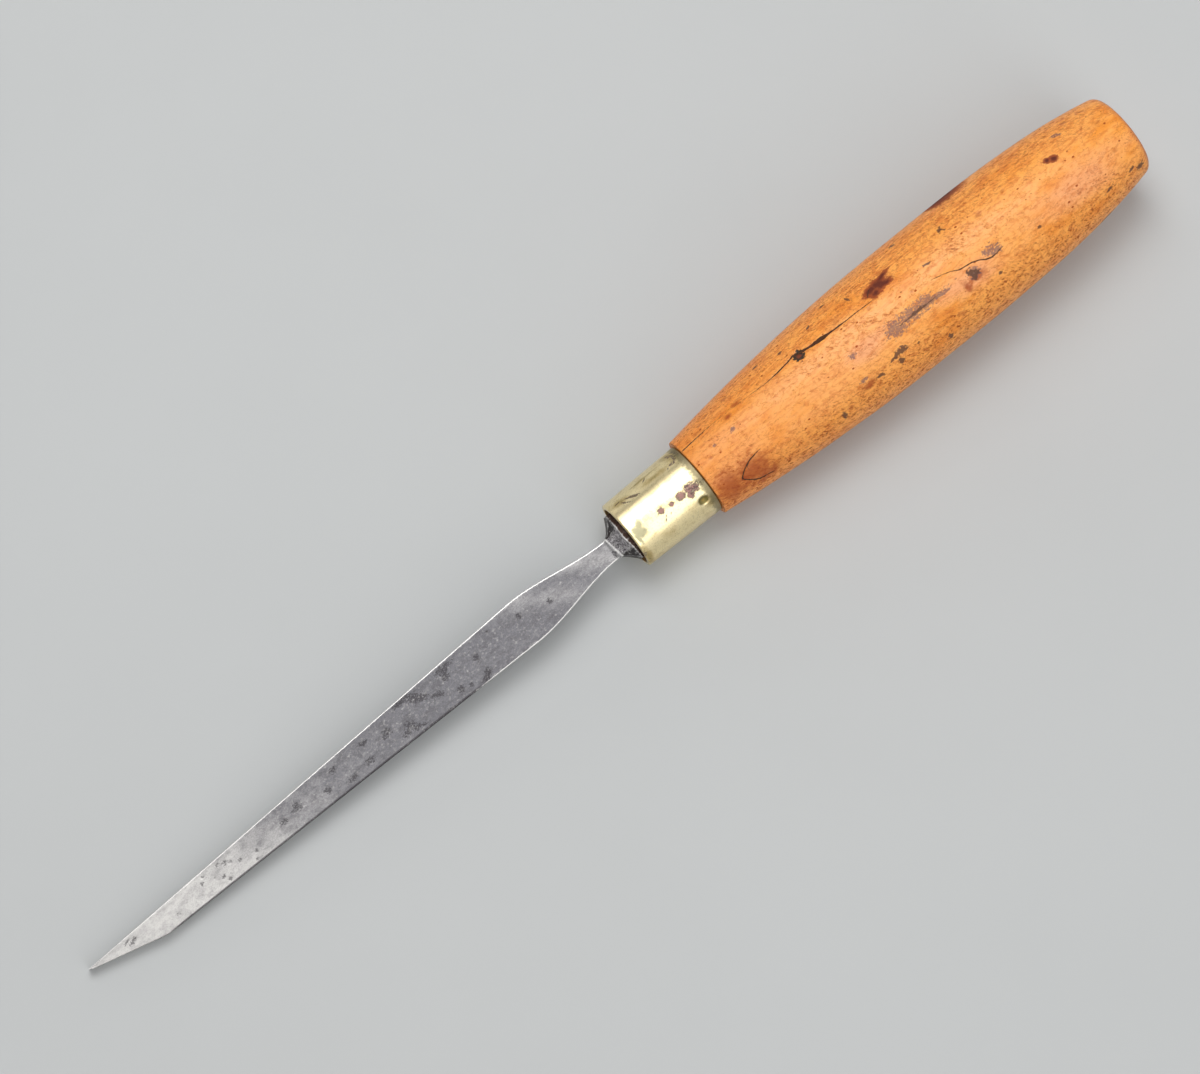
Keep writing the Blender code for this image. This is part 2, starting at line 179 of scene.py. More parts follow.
# Rust pits in the blade's upper side, each with its place in mm along and in mm of depth, its half length
# and half width in mm, and its tilt in degrees
PITS = (
    (-54.2, 1.5, 1.7, 1.3, -30.0), (-52.9, 0.7, 1.5, 0.9, -20.0), (-57.6, 2.5, 1.6, 0.6, 0.0),
    (-55.6, 2.6, 1.3, 0.7, 0.0), (-46.5, 2.4, 1.7, 1.0, 0.0), (-46.7, 1.0, 1.1, 1.0, 30.0),
    (-44.8, 2.6, 1.2, 0.6, 0.0), (-62.9, -0.3, 1.1, 1.0, 20.0), (-63.6, -1.0, 0.9, 0.5, 0.0),
    (-58.3, -2.4, 1.4, 1.2, -30.0), (-59.7, -3.1, 1.1, 0.8, 0.0), (-57.6, -3.2, 1.2, 0.8, 0.0),
    (-56.0, -3.8, 1.0, 0.4, -20.0), (-49.8, -1.1, 1.3, 0.8, -30.0), (-51.0, -0.6, 0.8, 0.5, 0.0),
    (-50.0, -4.9, 0.6, 0.4, 0.0), (-40.4, -4.7, 1.0, 0.7, 0.0), (-39.3, -3.8, 1.0, 0.9, 30.0),
    (-39.3, -0.2, 0.9, 0.9, 0.0), (-45.8, -3.1, 0.9, 0.8, 0.0), (-27.3, 1.1, 0.7, 0.7, 0.0),
    (-43.5, -3.6, 0.6, 0.5, 0.0), (-34.5, 2.6, 0.6, 0.6, 0.0), (-69.2, -2.7, 1.2, 0.9, 0.0),
    (-68.2, 1.0, 1.1, 0.6, 0.0), (-109.8, 0.5, 0.43, 0.36, 0.0), (-110.8, -0.6, 0.5, 0.36, 20.0),
    (-104.6, -0.1, 0.65, 0.5, 0.0), (-103.6, -0.7, 0.36, 0.36, 0.0), (-106.5, -2.2, 0.5, 0.43, 0.0),
    (-105.6, -3.3, 0.72, 0.43, 0.0), (-108.1, -1.2, 0.36, 0.29, 0.0), (-101.8, -1.7, 0.5, 0.36, 0.0),
    (-98.1, -2.3, 0.43, 0.36, 0.0), (-98.9, -3.7, 0.43, 0.36, 0.0), (-86.4, -0.5, 1.3, 1.1, 0.0),
    (-118.2, -2.3, 0.65, 0.29, 0.0), (-90.3, -1.3, 1.2, 0.7, 0.0), (-106.1, 0.5, 0.58, 0.29, 0.0),
    (-128.6, -0.7, 1.08, 0.58, 20.0), (-129.6, -0.1, 0.86, 0.36, 10.0), (-74.0, -3.3, 1.3, 0.6, 0.0),
    (-79.4, -2.0, 1.0, 0.8, 0.0), (-20.6, -0.6, 0.6, 0.8, -20.0), (-76.0, 0.6, 1.0, 0.6, 0.0),
    (-4.4, -1.0, 0.4, 0.35, 0.0), (-4.1, -1.4, 0.45, 0.35, 0.0), (-4.5, -1.8, 0.4, 0.35, 0.0),
)

# The blade's small forms: sizes and depths in mm, counts of rows, shares and powers
ARRIS_SHARE = 0.4
RIDGE_ROWS = 3
FLARE_ROWS = 16
FLARE_HOLLOW = 1.9
COLLAR_ROWS = 4
TANG_ROWS = 14
PIT_DEPTH = 0.05
WHEEL_SIZE = 7.0
WHEEL_DEPTH = 0.05
HAMMER_SIZE = 1.6
HAMMER_SWELL = 0.02
FINE_HAMMER_SIZE = 0.64
FINE_HAMMER_SHARE = 0.5

# How far from the middle of its width the blade starts to be ground and pitted, in mm
GROUND_FROM = 1.0

# Where the hammered facets and their scale start behind the start of the bolster, and the rust, which is
# also painted shade of the gap at the ferrule's mouth, behind the front of the collar, and over what length
# each comes to its full, in mm
HAMMER_START = -0.3
HAMMER_RUN = 0.5
SCALE_START = 0.1
SCALE_RUN = 0.4
RUST_AND_SHADE_START = -0.1
RUST_AND_SHADE_RUN = 0.4

# The ferrule's small forms: sizes and depths in mm, and counts of rows
BORE_ROWS = 10
TUBE_WAVE = 0.03
TUBE_WAVE_SIZE = 6.0
SCRATCH_DEPTH = 0.05
SPOT_DEPTH = 0.03
PUNCH_DEPTH = 0.4

# How grimy the ferrule is towards its back rim, at places along it in mm
RIM_GRIME_PLACES = (16.7, 17.5, 18.8)
RIM_GRIME_SHARES = (0.0, 0.4, 0.9)

# The handle's small forms: powers of its curve, how far its butt's edge turns, counts of rows, and sizes and
# depths in mm
FRONT_FULLNESS = 2.0
REAR_FULLNESS = 3.3
BUTT_TURN = math.radians(80)
SPIGOT_ROWS = 8
CROWN_ROWS = 16
CENTRE_RADIUS = 0.05
HOLE_ROWS = 12
FACE_ROWS = 6
HAND_WEAR = 0.08
HAND_WEAR_SIZE = 9.0
KNOT_DEPTH = 0.3

# The wood's growth rings: where the tree's pith lay, and the width of a year's growth, in mm
PITH = (0.0, 9.0, -14.0)
RING_WIDTH = 1.1

# Small dents in the handle: how many, the ranges of their places along it, their half lengths and their
# depths in mm, and of their widths as shares of their lengths
DENTS = 150
DENT_SEED = 7
DENT_PLACES = (22.0, 131.0)
DENT_REACHES = (0.5, 1.7)
DENT_DEPTHS = (0.03, 0.1)
DENT_WIDTHS = (0.5, 1.0)

# How ruddy the wood is, at places along the handle in mm, and how dark where the ferrule hides it, for grime
# and painted shade
RUDDY_PLACES = (19.0, 30.0, 62.0)
RUDDY_SHARES = (1.0, 0.7, 0.0)
HIDDEN_SHADE_AND_GRIME = 0.5

# How far to the side of the handle's top, in mm, hand polish and painted sheen give way to a worked surface
# with dirt and painted shade
SHEEN_AND_POLISH_EDGE = 3.0
SHADE_AND_WORK_EDGE = 10.0

# How far the strokes and gouges that work has left in the wood slant from its grain
STROKE_SLANT = math.radians(32)

# Specks in the wood: how long they are for their width, and how soft, as a share of their cells
SPECK_STRETCH = 1.5
SPECK_SOFT = 0.06

# How bright the blade has been kept, at places along it in mm
BRIGHT_PLACES = (-139.0, -135.0, -131.0, -125.0, -112.0, -100.0, -90.0, -75.0, -55.0, -28.0, -20.0, -14.0,
                 -9.0, -4.5)
BRIGHT_SHARES = (1.0, 1.0, 0.78, 0.93, 0.89, 0.58, 0.34, 0.15, 0.06, 0.08, 0.38, 0.14, 0.5, 0.48)

# How white the blade's long edges are painted, for wear and as painted highlight, at places along it in mm:
# the back's edge and the face's
EDGE_PLACES = (-139.0, -122.0, -75.0, -46.0, -36.0, -27.0, -5.0)
BACK_EDGE = (1.0, 0.9, 1.0, 1.0, 1.0, 1.0, 1.0)
FACE_EDGE = (0.2, 0.0, 0.0, 0.0, 0.7, 0.85, 0.9)

# Painted shade along the face's long edge: how dark it is, at places along it in mm
EDGE_SHADE_PLACES = (-139.0, -122.0, -118.0, -46.0, -40.0)
EDGE_SHADE_SHARES = (0.0, 0.0, 1.0, 1.0, 0.0)

# How much further the bright steel reaches along the blade for each mm towards the face
BRIGHT_SLANT = 1.6

# How white the blade's edges are painted, for wear and as painted highlight, at the ends of their rounding,
# and the bolster's at theirs
ARRIS_END_WEAR_AND_HIGHLIGHT = 0.1
FACET_WEAR_AND_HIGHLIGHT = 0.2

# The worn ridge behind the start of the bolster, its white partly painted highlight: its place and half
# width in mm, how far it slants towards the edge for each mm of depth, and how white it is
RIDGE_PLACE = 0.2
RIDGE_HALF = 0.28
RIDGE_SLANT = 0.12
RIDGE_WEAR_AND_HIGHLIGHT = 0.5

# The worn front rim of the collar, its white partly painted highlight: its half width in mm, how white it
# is, and the share of that at the sides
RIM_HALF = 0.2
RIM_WEAR_AND_HIGHLIGHT = 0.44
SIDE_RIM_SHARE = 0.6

# How much nearer the ferrule the front of the collar lies for each mm towards the face, and towards both
# sides
COLLAR_SLANT = 0.06
COLLAR_BOW = 0.09

# Camera: turn and rise in degrees, distance in metres, lens and sensor in mm, and the middle of its frame,
# in mm right of and above the ferrule's mouth
CAMERA_AZIMUTH = -39.386
CAMERA_ELEVATION = 75.445
CAMERA_DISTANCE = 1.0
CAMERA_LENS = 147.62
CAMERA_SENSOR = 36.0
AIM_RIGHT = -5.195
AIM_UP = -0.203

# Lamps: width and depth in metres, turn and lean in degrees, distance in metres
SOFTBOX = (0.9, 4.7, -90.0, 10.0, 1.6)
KEY_LAMP = (0.4, 0.4, 53.0, 18.5, 0.8)

# Floor: its size in metres, and the shade of its clouding as a share of its colour
FLOOR_SIZE = 8.0
FLOOR_CLOUD_SHADE = 0.96

# Light tent: sines of the angles above the bench where its walls end and its ceiling begins
WALL_TOP = 0.3
CEILING_EDGE = 0.6


def linear(text):
    """Linear colour, with full alpha, of an sRGB hex value."""
    shares = [int(text[place:place + 2], 16) / 255 for place in (1, 3, 5)]
    return (*(s / 12.92 if s <= 0.04045 else ((s + 0.055) / 1.055) ** 2.4 for s in shares), 1.0)


def length(name, millimetres, description):
    """Setting for a length, given here in millimetres and kept in metres."""
    return FloatProperty(name=name, description=description, default=millimetres * MM, unit="LENGTH",
                         subtype="DISTANCE", precision=5)


def colour(name, text, description):
    """Setting for a colour, given as sRGB hex."""
    return FloatVectorProperty(name=name, description=description, default=linear(text), size=4,
                               subtype="COLOR", min=0.0, max=1.0)


class ChiselBladeSettings(bpy.types.PropertyGroup):
    """Sizes and colours of the forged blade."""

    edge_reach: length("Edge reach", 138.88, "From the ferrule's mouth to the cutting edge")
    heel_reach: length("Heel reach", 122.2, "From the ferrule's mouth to the heel of the bevel")
    hip_reach: length("Hip reach", 27.2, "From the ferrule's mouth to the deepest place of the blade")
    neck_reach: length("Neck reach", 4.5, "From the ferrule's mouth to the thin end of the waist")
    flare_reach: length("Flare reach", 3.9, "From the ferrule's mouth to the start of the bolster")
    collar_reach: length("Collar reach", 1.1, "From the ferrule's mouth to the bolster's full width")
    collar_length: length("Collar length", 1.3, "Straight part of the bolster")
    edge_back: length("Back at the edge", 0.5, "Flat back above the handle's axis at the cutting edge")
    hip_back: length("Back at the hip", 4.5, "Flat back above the handle's axis at the hip")
    neck_back: length("Back at the neck", 2.0, "Flat back above the handle's axis at the neck")
    heel_face: length("Face at the heel", 4.2, "Bevelled face below the handle's axis at the heel")
    hip_face: length("Face at the hip", 5.6, "Bevelled face below the handle's axis at the hip")
    neck_face: length("Face at the neck", 2.7, "Bevelled face below the handle's axis at the neck")
    edge_width: length("Edge width", 3.2, "Width of the cutting edge")
    hip_width: length("Hip width", 4.6, "Width of the blade at the hip")
    neck_width: length("Neck width", 4.8, "Width of the blade at the neck")
    edge_arris: length("Edge arris", 0.06, "Rounding of the blade's long edges at the cutting edge")
    heel_arris: length("Heel arris", 0.2, "Rounding of the blade's long edges at the heel")
    hip_arris: length("Hip arris", 0.3, "Rounding of the blade's long edges at the hip")
    neck_arris: length("Neck arris", 0.3, "Rounding of the blade's long edges at the neck")
    edge_thickness: length("Edge thickness", 0.04, "What is left of the steel at the worn cutting edge")
    honed_length: length("Honed length", 0.9, "Length of the facet that the oilstone leaves at the edge")
    honed_drop: length("Honed drop", 0.55, "How far that facet falls below the edge")
    bolster_across: length("Bolster across", 11.2, "Bolster across its flats")
    bolster_facet: length("Bolster facet", 5.4, "Width of each of the bolster's four main facets")
    tang_length: length("Tang length", 62.0, "From the ferrule's mouth to the end of the hidden tang")
    tang_root: length("Tang root", 6.0, "Tang across its flats at the bolster")
    tang_end: length("Tang end", 2.6, "Tang across its flats at its end")
    tang_arris: length("Tang arris", 0.5, "Cut corners of the tang")
    ground: colour("Ground steel", "#B4B2AF", "Bright steel of the bevel and the lower blade")
    patina: colour("Patina", "#737276", "Grey patina of the upper blade")
    clouded: colour("Clouded", "#5F5D60", "Darker mottling of the patina")
    # Along the face's lower edge this colour is painted shade
    pitted: colour("Pitted", "#454245", "Dark bottoms of the rust pits and stains along the face's edge")
    # Its darkness on the bolster's lower facets also stands for their shade
    scale: colour("Forge scale", "#322E2E", "Black scale left by the fire on the bolster")
    # On the collar by the ferrule this brown is also painted shade of the gap at the ferrule's mouth
    rust: colour("Rust", "#3A251B", "Brown rust on the collar by the ferrule")
    # This lighter grey on the bolster's upper facet is painted light, where the facet faces the lamps
    lit_and_rubbed: colour("Rubbed scale", "#8E8A8D", "Scale rubbed grey on the bolster's upper facet")
    # Along the arrises, the neck's ridge and the collar's rim this white is partly painted highlight
    worn: colour("Worn arrises", "#EDEBE8", "Steel polished white along the long edges")


class ChiselFerruleSettings(bpy.types.PropertyGroup):
    """Sizes and colours of the brass ferrule."""

    tube_length: length("Length", 18.8, "Length of the tube")
    front_radius: length("Front radius", 7.72, "Outside radius at the mouth")
    back_radius: length("Back radius", 8.05, "Outside radius at the handle")
    bore_radius: length("Bore radius", 6.8, "Inside radius")
    front_rim: length("Front rim", 0.35, "Rounding of the rim at the mouth")
    back_rim: length("Back rim", 0.18, "Rounding of the rim at the handle")
    brass: colour("Brass", "#F6E5B5", "Polished brass")
    tarnish: colour("Tarnish", "#AC9050", "Olive tarnish")
    copper: colour("Copper spots", "#A67A72", "Spots where the zinc has gone")
    stain: colour("Stains", "#5E4A46", "Dark stains and scratches")
    dull: colour("Dull", "#B5B08C", "Greyed brass where the polish has gone")
    olive: colour("Olive", "#6E642E", "Dirty polish in the punch mark and the darkest tarnish")
    grime: colour("Grime", "#5C563C", "Grey-green dirt along the back rim")


class ChiselHandleSettings(bpy.types.PropertyGroup):
    """Sizes and colours of the boxwood handle."""

    shoulder: length("Shoulder", 18.9, "From the ferrule's mouth to the shoulder behind it")
    barrel_length: length("Barrel length", 112.0, "From the shoulder to the rounded edge of the butt")
    shoulder_radius: length("Shoulder radius", 9.1, "Radius at the shoulder")
    shoulder_round: length("Shoulder round", 0.2, "Rounding of the shoulder")
    belly_radius: length("Belly radius", 13.08, "Radius at the fullest place")
    belly_place: length("Belly place", 58.8, "From the shoulder to the fullest place")
    butt_radius: length("Butt radius", 9.6, "Radius at the butt")
    butt_round: length("Butt round", 2.2, "Rounding of the butt's edge")
    butt_crown: length("Butt crown", 0.5, "How far the butt stands out inside its rounded edge")
    butt_flat_radius: length("Butt flat radius", 3.5, "Radius of the flat in the middle of the butt")
    spigot_radius: length("Spigot radius", 6.5, "Radius of the spigot inside the ferrule")
    spigot_recess: length("Spigot recess", 0.5, "How far the spigot stands back from the ferrule's mouth")
    hole_root: length("Hole root", 6.6, "Tang hole across its flats at the spigot's end")
    hole_end: length("Hole end", 3.2, "Tang hole across its flats at its blind end")
    hole_depth: length("Hole depth", 62.3, "From the ferrule's mouth to the blind end of the tang hole")
    honey: colour("Honey", "#FBAB4F", "Light wood, worn clean by the hand")
    # This pale colour paints the sheen along the handle's top
    sheen_peach: colour("Peach", "#F2A874", "Wood rubbed pale along the top by the hand")
    amber: colour("Amber", "#EF9536", "Darker streaks of the wood")
    russet: colour("Russet", "#D16B22", "Redder streaks, more of them by the ferrule")
    brown: colour("Brown", "#9A3C02", "Wood browned round the checks, and shallow dirt")
    # Inside the ferrule this dark colour is partly painted shade
    grime: colour("Grime", "#6B3112", "Dark dirt in gouges and specks, and on the wood inside the ferrule")
    bruise: colour("Bruises", "#5E3A24", "Greyer dirt pressed into bruises and into the widest checks")
    check: colour("Checks", "#352A1E", "Bottoms of the checks and the knot")
    burn: colour("Burns", "#5A2216", "Dark red burnt marks")
    scorch: colour("Scorches", "#8C3C1E", "Red-brown edges of the burns")
    smudge: colour("Smudges", "#574852", "Grey smudges worn into the polish")


class ChiselStageSettings(bpy.types.PropertyGroup):
    """Floor and lights."""

    floor: colour("Floor", "#BEC0C0", "Pale grey board under the tool")
    wall_radiance: FloatProperty(name="Walls", description="Radiance of the light tent's walls",
                                 default=0.78, min=0.0)
    ceiling_radiance: FloatProperty(name="Ceiling", description="Radiance of the light tent's ceiling",
                                    default=0.07, min=0.0)
    softbox_radiance: FloatProperty(name="Softbox", description="Radiance of the overhead softbox",
                                    default=2.4, min=0.0)
    key_radiance: FloatProperty(name="Key", description="Radiance of the smaller lamp beside it",
                                default=4.4, min=0.0)


def in_mm(settings):
    """The lengths of a settings group, in millimetres, under their own names."""
    properties = settings.bl_rna.properties
    lengths = [prop.identifier for prop in properties if prop.type == "FLOAT" and prop.unit == "LENGTH"]
    return SimpleNamespace(**{name: getattr(settings, name) / MM for name in lengths})


def ease(share):
    """Share of an S-curve that leaves and arrives level."""
    share = np.clip(share, 0.0, 1.0)
    return share * share * (3.0 - 2.0 * share)


def tool_frame(butt):
    """Where the tool lies: its own frame, from the record's mounts on the butt and on the blade's side."""
    mounts = {mount["name"]: mount for mount in frame["record"]["mounts"]}
    along = Vector(mounts["butt_face"]["axis"]).normalized()
    side = Vector(mounts["blade_side"]["axis"])
    side = (side - along * side.dot(along)).normalized()
    mouth = Vector(mounts["butt_face"]["pos_m"]) - along * butt * MM
    turn = Matrix((along, side.cross(along), side)).transposed()
    return Matrix.Translation(mouth) @ turn.to_4x4()


def skin(name, rings, joined=False):
    """Mesh object over rings of points in mm, closed round each ring, and joined end to end or capped."""
    rows, columns = rings.shape[:2]
    index = np.arange(rows * columns).reshape(rows, columns)
    lower, upper = (index, np.roll(index, -1, axis=0)) if joined else (index[:-1], index[1:])
    quads = np.stack([lower, upper, np.roll(upper, -1, axis=1), np.roll(lower, -1, axis=1)], axis=-1)
    faces = quads.reshape(-1, 4).tolist()
    if not joined:
        faces += [index[0].tolist(), index[-1][::-1].tolist()]
    mesh = bpy.data.meshes.new(name)
    mesh.from_pydata((rings.reshape(-1, 3) * MM).tolist(), [], faces)
    if mesh.validate():
        raise RuntimeError(f"the skin of {name} has faces that Blender can't use")
    mesh.shade_smooth()
    mesh.set_sharp_from_angle(angle=SHARP_ANGLE)
    own_place = mesh.attributes.new("tool_place", "FLOAT_VECTOR", "POINT")
    own_place.data.foreach_set("vector", np.ascontiguousarray(rings, np.float32).ravel())
    piece = bpy.data.objects.new(name, mesh)
    bpy.context.scene.collection.objects.link(piece)
    return piece


def set_fields(piece, **fields):
    """Keep a number for each point of the piece, under each name, for its material to read."""
    for name, values in fields.items():
        field = piece.data.attributes.new(name, "FLOAT", "POINT")
        field.data.foreach_set("value", np.ascontiguousarray(values, np.float32).ravel())


def settle(piece, node, material, place):
    """Lay the piece where its solid is, with its finish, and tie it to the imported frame."""
    piece.data.materials.append(material)
    piece.data.transform(place)
    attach(piece, BODY)
    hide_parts(node)


def around(x, radius, degrees):
    """Points at a radius and an angle round the tool's axis."""
    x, radius, angle = np.broadcast_arrays(x, radius, np.radians(degrees))
    return np.stack([x, radius * np.sin(angle), radius * np.cos(angle)], axis=-1)


def unevenness(points, size):
    """Smooth noise from -1 to 1 with features of about that size in mm, at each point."""
    flat = points.reshape(-1, 3) / size
    return np.array([noise.noise(Vector(point)) for point in flat]).reshape(points.shape[:-1])


def hollows(points, size):
    """The same noise from 0 to 1, as a share of a depth."""
    return 0.5 + 0.5 * unevenness(points, size)


def sunk_share(field, steepness=MARK_STEEPNESS):
    """Share of its full depth that a mark has at each point: flat in its middle, with steep sides."""
    return np.clip(steepness * field, 0.0, 1.0)


def mark_field(along, across, marks):
    """How deep each point lies in the nearest of some oval marks: 1 in the middle and 0 on the edge."""
    field = np.full(along.shape, FAR_OUTSIDE)
    for middle, height, half_length, half_width, tilt in marks:
        cosine, sine = math.cos(math.radians(tilt)), math.sin(math.radians(tilt))
        dx, dy = along - middle, across(height)
        reach = np.hypot((dx * cosine + dy * sine) / half_length, (dy * cosine - dx * sine) / half_width)
        field = np.maximum(field, 1.0 - reach)
    return field


def round_marks(x, degrees, radius, marks):
    """Mark field on a round piece, measured along its surface."""
    return mark_field(x, lambda height: np.radians(degrees - height) * radius, marks)


def side_marks(x, depth, marks):
    """Mark field on the blade's flat side."""
    return mark_field(x, lambda height: depth - height, marks)


def check_fields(x, degrees, radius):
    """Signed distance to the nearest check in the wood, and the check's half width there, in mm."""
    offset = np.full(x.shape, CHECK_REACH)
    half = np.full(x.shape, UNMARKED)
    paths = [(path, True) for path in CHECKS_ALONG] + [(path, False) for path in CHECKS_ROUND]
    for path, runs_along in paths:
        places, turns, widths = np.array(path).T
        if runs_along:
            run, track, centre = x, places, np.interp(x, places, turns)
            this_offset = np.radians(degrees - centre) * radius
        else:
            run, track, centre = degrees, turns, np.interp(degrees, turns, places)
            this_offset = x - centre
        beyond = np.maximum(track[0] - run, run - track[-1]).clip(0.0)
        this_half = np.interp(run, track, widths) - beyond * CHECK_CLOSES
        this_half = np.where(np.abs(this_offset) < CHECK_REACH, this_half, UNMARKED)
        nearer = this_half - np.abs(this_offset) > half - np.abs(offset)
        offset, half = np.where(nearer, this_offset, offset), np.where(nearer, this_half, half)
    return offset, half


# Blade

def blade_stations(size):
    """Distances along the blade up to the neck, closer together at the honed edge."""
    stops = (-size.edge_reach, size.honed_length - size.edge_reach, -size.heel_reach, -size.hip_reach,
             -size.neck_reach)
    steps = (BLADE_STEP / 2, BLADE_STEP, BLADE_STEP, BLADE_STEP)
    runs = [np.arange(start, stop - step / 2, step) for start, stop, step in zip(stops, stops[1:], steps)]
    return np.append(np.concatenate(runs), stops[-1])


def blade_section(x, size):
    """Back, face, half width and arris of the blade at distances along it."""
    waist = ease((x + size.hip_reach) / (size.hip_reach - size.neck_reach))
    share = np.clip((x + size.edge_reach) / (size.edge_reach - size.hip_reach), 0.0, 1.0)
    back = (size.edge_back + (size.hip_back - size.edge_back) * share
            + (size.neck_back - size.hip_back) * waist)
    taper = np.minimum((x + size.heel_reach) / (size.heel_reach - size.hip_reach), 1.0)
    forged = ((size.hip_face - size.neck_face) * waist - size.heel_face
              - (size.hip_face - size.heel_face) * taper)
    from_edge = x + size.edge_reach
    honed_depth = size.edge_back - size.honed_drop
    bevel_run = size.edge_reach - size.honed_length - size.heel_reach
    bevel = honed_depth - (from_edge - size.honed_length) * (size.heel_face + honed_depth) / bevel_run
    honed = size.edge_back - size.edge_thickness - from_edge * size.honed_drop / size.honed_length
    face = np.maximum(forged, np.maximum(bevel, honed))
    width = (size.edge_width + (size.hip_width - size.edge_width) * share
             + (size.neck_width - size.hip_width) * waist)
    arris = np.interp(x, (-size.edge_reach, -size.heel_reach, -size.hip_reach, -size.neck_reach),
                      (size.edge_arris, size.heel_arris, size.hip_arris, size.neck_arris))
    return back, face, width / 2, np.minimum(arris, (back - face) * ARRIS_SHARE)


def section_ring(x, back, face, half, arris, cut=0.0):
    """Ring of points round a rectangle with rounded corners, cut off straight as cut goes from 0 to 1."""
    centres = ((back - arris, half - arris), (back - arris, arris - half),
               (face + arris, arris - half), (face + arris, half - arris))
    shares = np.linspace(0.0, 1.0, ARRIS_POINTS)
    corners = []
    for quarter, centre in enumerate(centres):
        turns = (quarter + shares) * QUARTER
        arc = np.column_stack([np.sin(turns), np.cos(turns)])
        chord = arc[0] + np.outer(shares, arc[-1] - arc[0])
        corners.append(centre + arris * (arc + (chord - arc) * cut))
    ring = []
    for corner, following, points in zip(corners, corners[1:] + corners[:1], SECTION_RUNS):
        ring += [corner, np.linspace(corner[-1], following[0], points + 1)[1:-1]]
    ring = np.concatenate(ring)
    return np.column_stack([np.full(len(ring), x), ring])


def corner_columns(ends, inner):
    """A value for each column of a section: one at the ends of its corners, one inside them, or nothing."""
    kinds = []
    for points in SECTION_RUNS:
        kinds += [ends] + [inner] * (ARRIS_POINTS - 2) + [ends] + [0.0] * (points - 1)
    return np.array(kinds)


def worn_and_highlit_edges(x, depth, height, size):
    """How white each point of the long edges, the neck's ridge and the bolster's edges is painted, for wear
    and as painted highlight.
    """
    along = np.where(depth > 0.0, np.interp(x, EDGE_PLACES, BACK_EDGE),
                     np.interp(x, EDGE_PLACES, FACE_EDGE))
    ridge = 1.0 - np.abs(x + size.flare_reach - RIDGE_PLACE + RIDGE_SLANT * depth) / RIDGE_HALF
    rim = np.where(height > 0.0, 1.0 - np.abs(x + size.collar_reach) / RIM_HALF, 0.0)
    rim *= np.where(height > np.abs(depth), 1.0, SIDE_RIM_SHARE)
    on_flare = (x > -size.flare_reach) & (x < -size.collar_reach)
    facets = np.where(on_flare, corner_columns(FACET_WEAR_AND_HIGHLIGHT, 0.0), 0.0)
    edges = np.where(x < -size.flare_reach, along * corner_columns(ARRIS_END_WEAR_AND_HIGHLIGHT, 1.0), facets)
    return np.maximum(edges, np.maximum(RIDGE_WEAR_AND_HIGHLIGHT * ridge, RIM_WEAR_AND_HIGHLIGHT * rim).clip(0.0))


def between(first, last, rows, hollow=1.0):
    """Rings that lead from one section to another, straight or in a hollow curve, without the first."""
    share = np.linspace(0.0, 1.0, rows + 1)[1:, None]
    shares = np.stack([share, share ** hollow, share ** hollow], axis=-1)
    return list(first + (last - first) * shares)


def bolster_rings(neck, size):
    """Rings from the neck over the ridge, the flaring facets and the collar to the tang's end."""
    corner_cut = (size.bolster_across - size.bolster_facet) / 2
    collar_back = size.collar_length - size.collar_reach
    flat, root, end = size.bolster_across / 2, size.tang_root / 2, size.tang_end / 2
    flare = section_ring(-size.flare_reach, size.neck_back + size.neck_arris / 2, -size.neck_face,
                         (size.neck_width + size.neck_arris) / 2, size.neck_arris)
    collar = section_ring(-size.collar_reach, flat, -flat, flat, corner_cut, 1.0)
    collar_end = section_ring(collar_back, flat, -flat, flat, corner_cut, 1.0)
    tang = section_ring(collar_back, root, -root, root, size.tang_arris, 1.0)
    tang_end = section_ring(size.tang_length, end, -end, end, size.tang_arris, 1.0)
    return (between(neck, flare, RIDGE_ROWS) + between(flare, collar, FLARE_ROWS, FLARE_HOLLOW)
            + between(collar, collar_end, COLLAR_ROWS) + between(collar_end, tang, COLLAR_ROWS)
            + between(tang, tang_end, TANG_ROWS))


def forged_and_ground(rings, pits, size):
    """The blade's rings after the hammer, the wheel and rust: uneven facets, a bowed collar, sunk sides."""
    x, depth, height = np.moveaxis(rings, -1, 0)
    forged = ease((x + size.flare_reach - HAMMER_START) / HAMMER_RUN) * (x < size.collar_length)
    blows = unevenness(rings, HAMMER_SIZE) + FINE_HAMMER_SHARE * unevenness(rings, FINE_HAMMER_SIZE)
    swell = 1.0 + HAMMER_SWELL * forged * blows
    ground = np.where(x < -size.neck_reach, hollows(rings, WHEEL_SIZE), 0.0)
    sink = PIT_DEPTH * sunk_share(pits) + WHEEL_DEPTH * ground
    sides = height - np.sign(height) * sink * (np.abs(height) > GROUND_FROM)
    collar_stops = (-size.flare_reach, -size.collar_reach, size.collar_length - size.collar_reach)
    collar_front = np.interp(x, collar_stops, (0.0, 1.0, 0.0))
    bow = COLLAR_BOW * np.abs(depth) - COLLAR_SLANT * depth
    return np.stack([x + collar_front * bow, depth * swell, sides * swell], axis=-1)


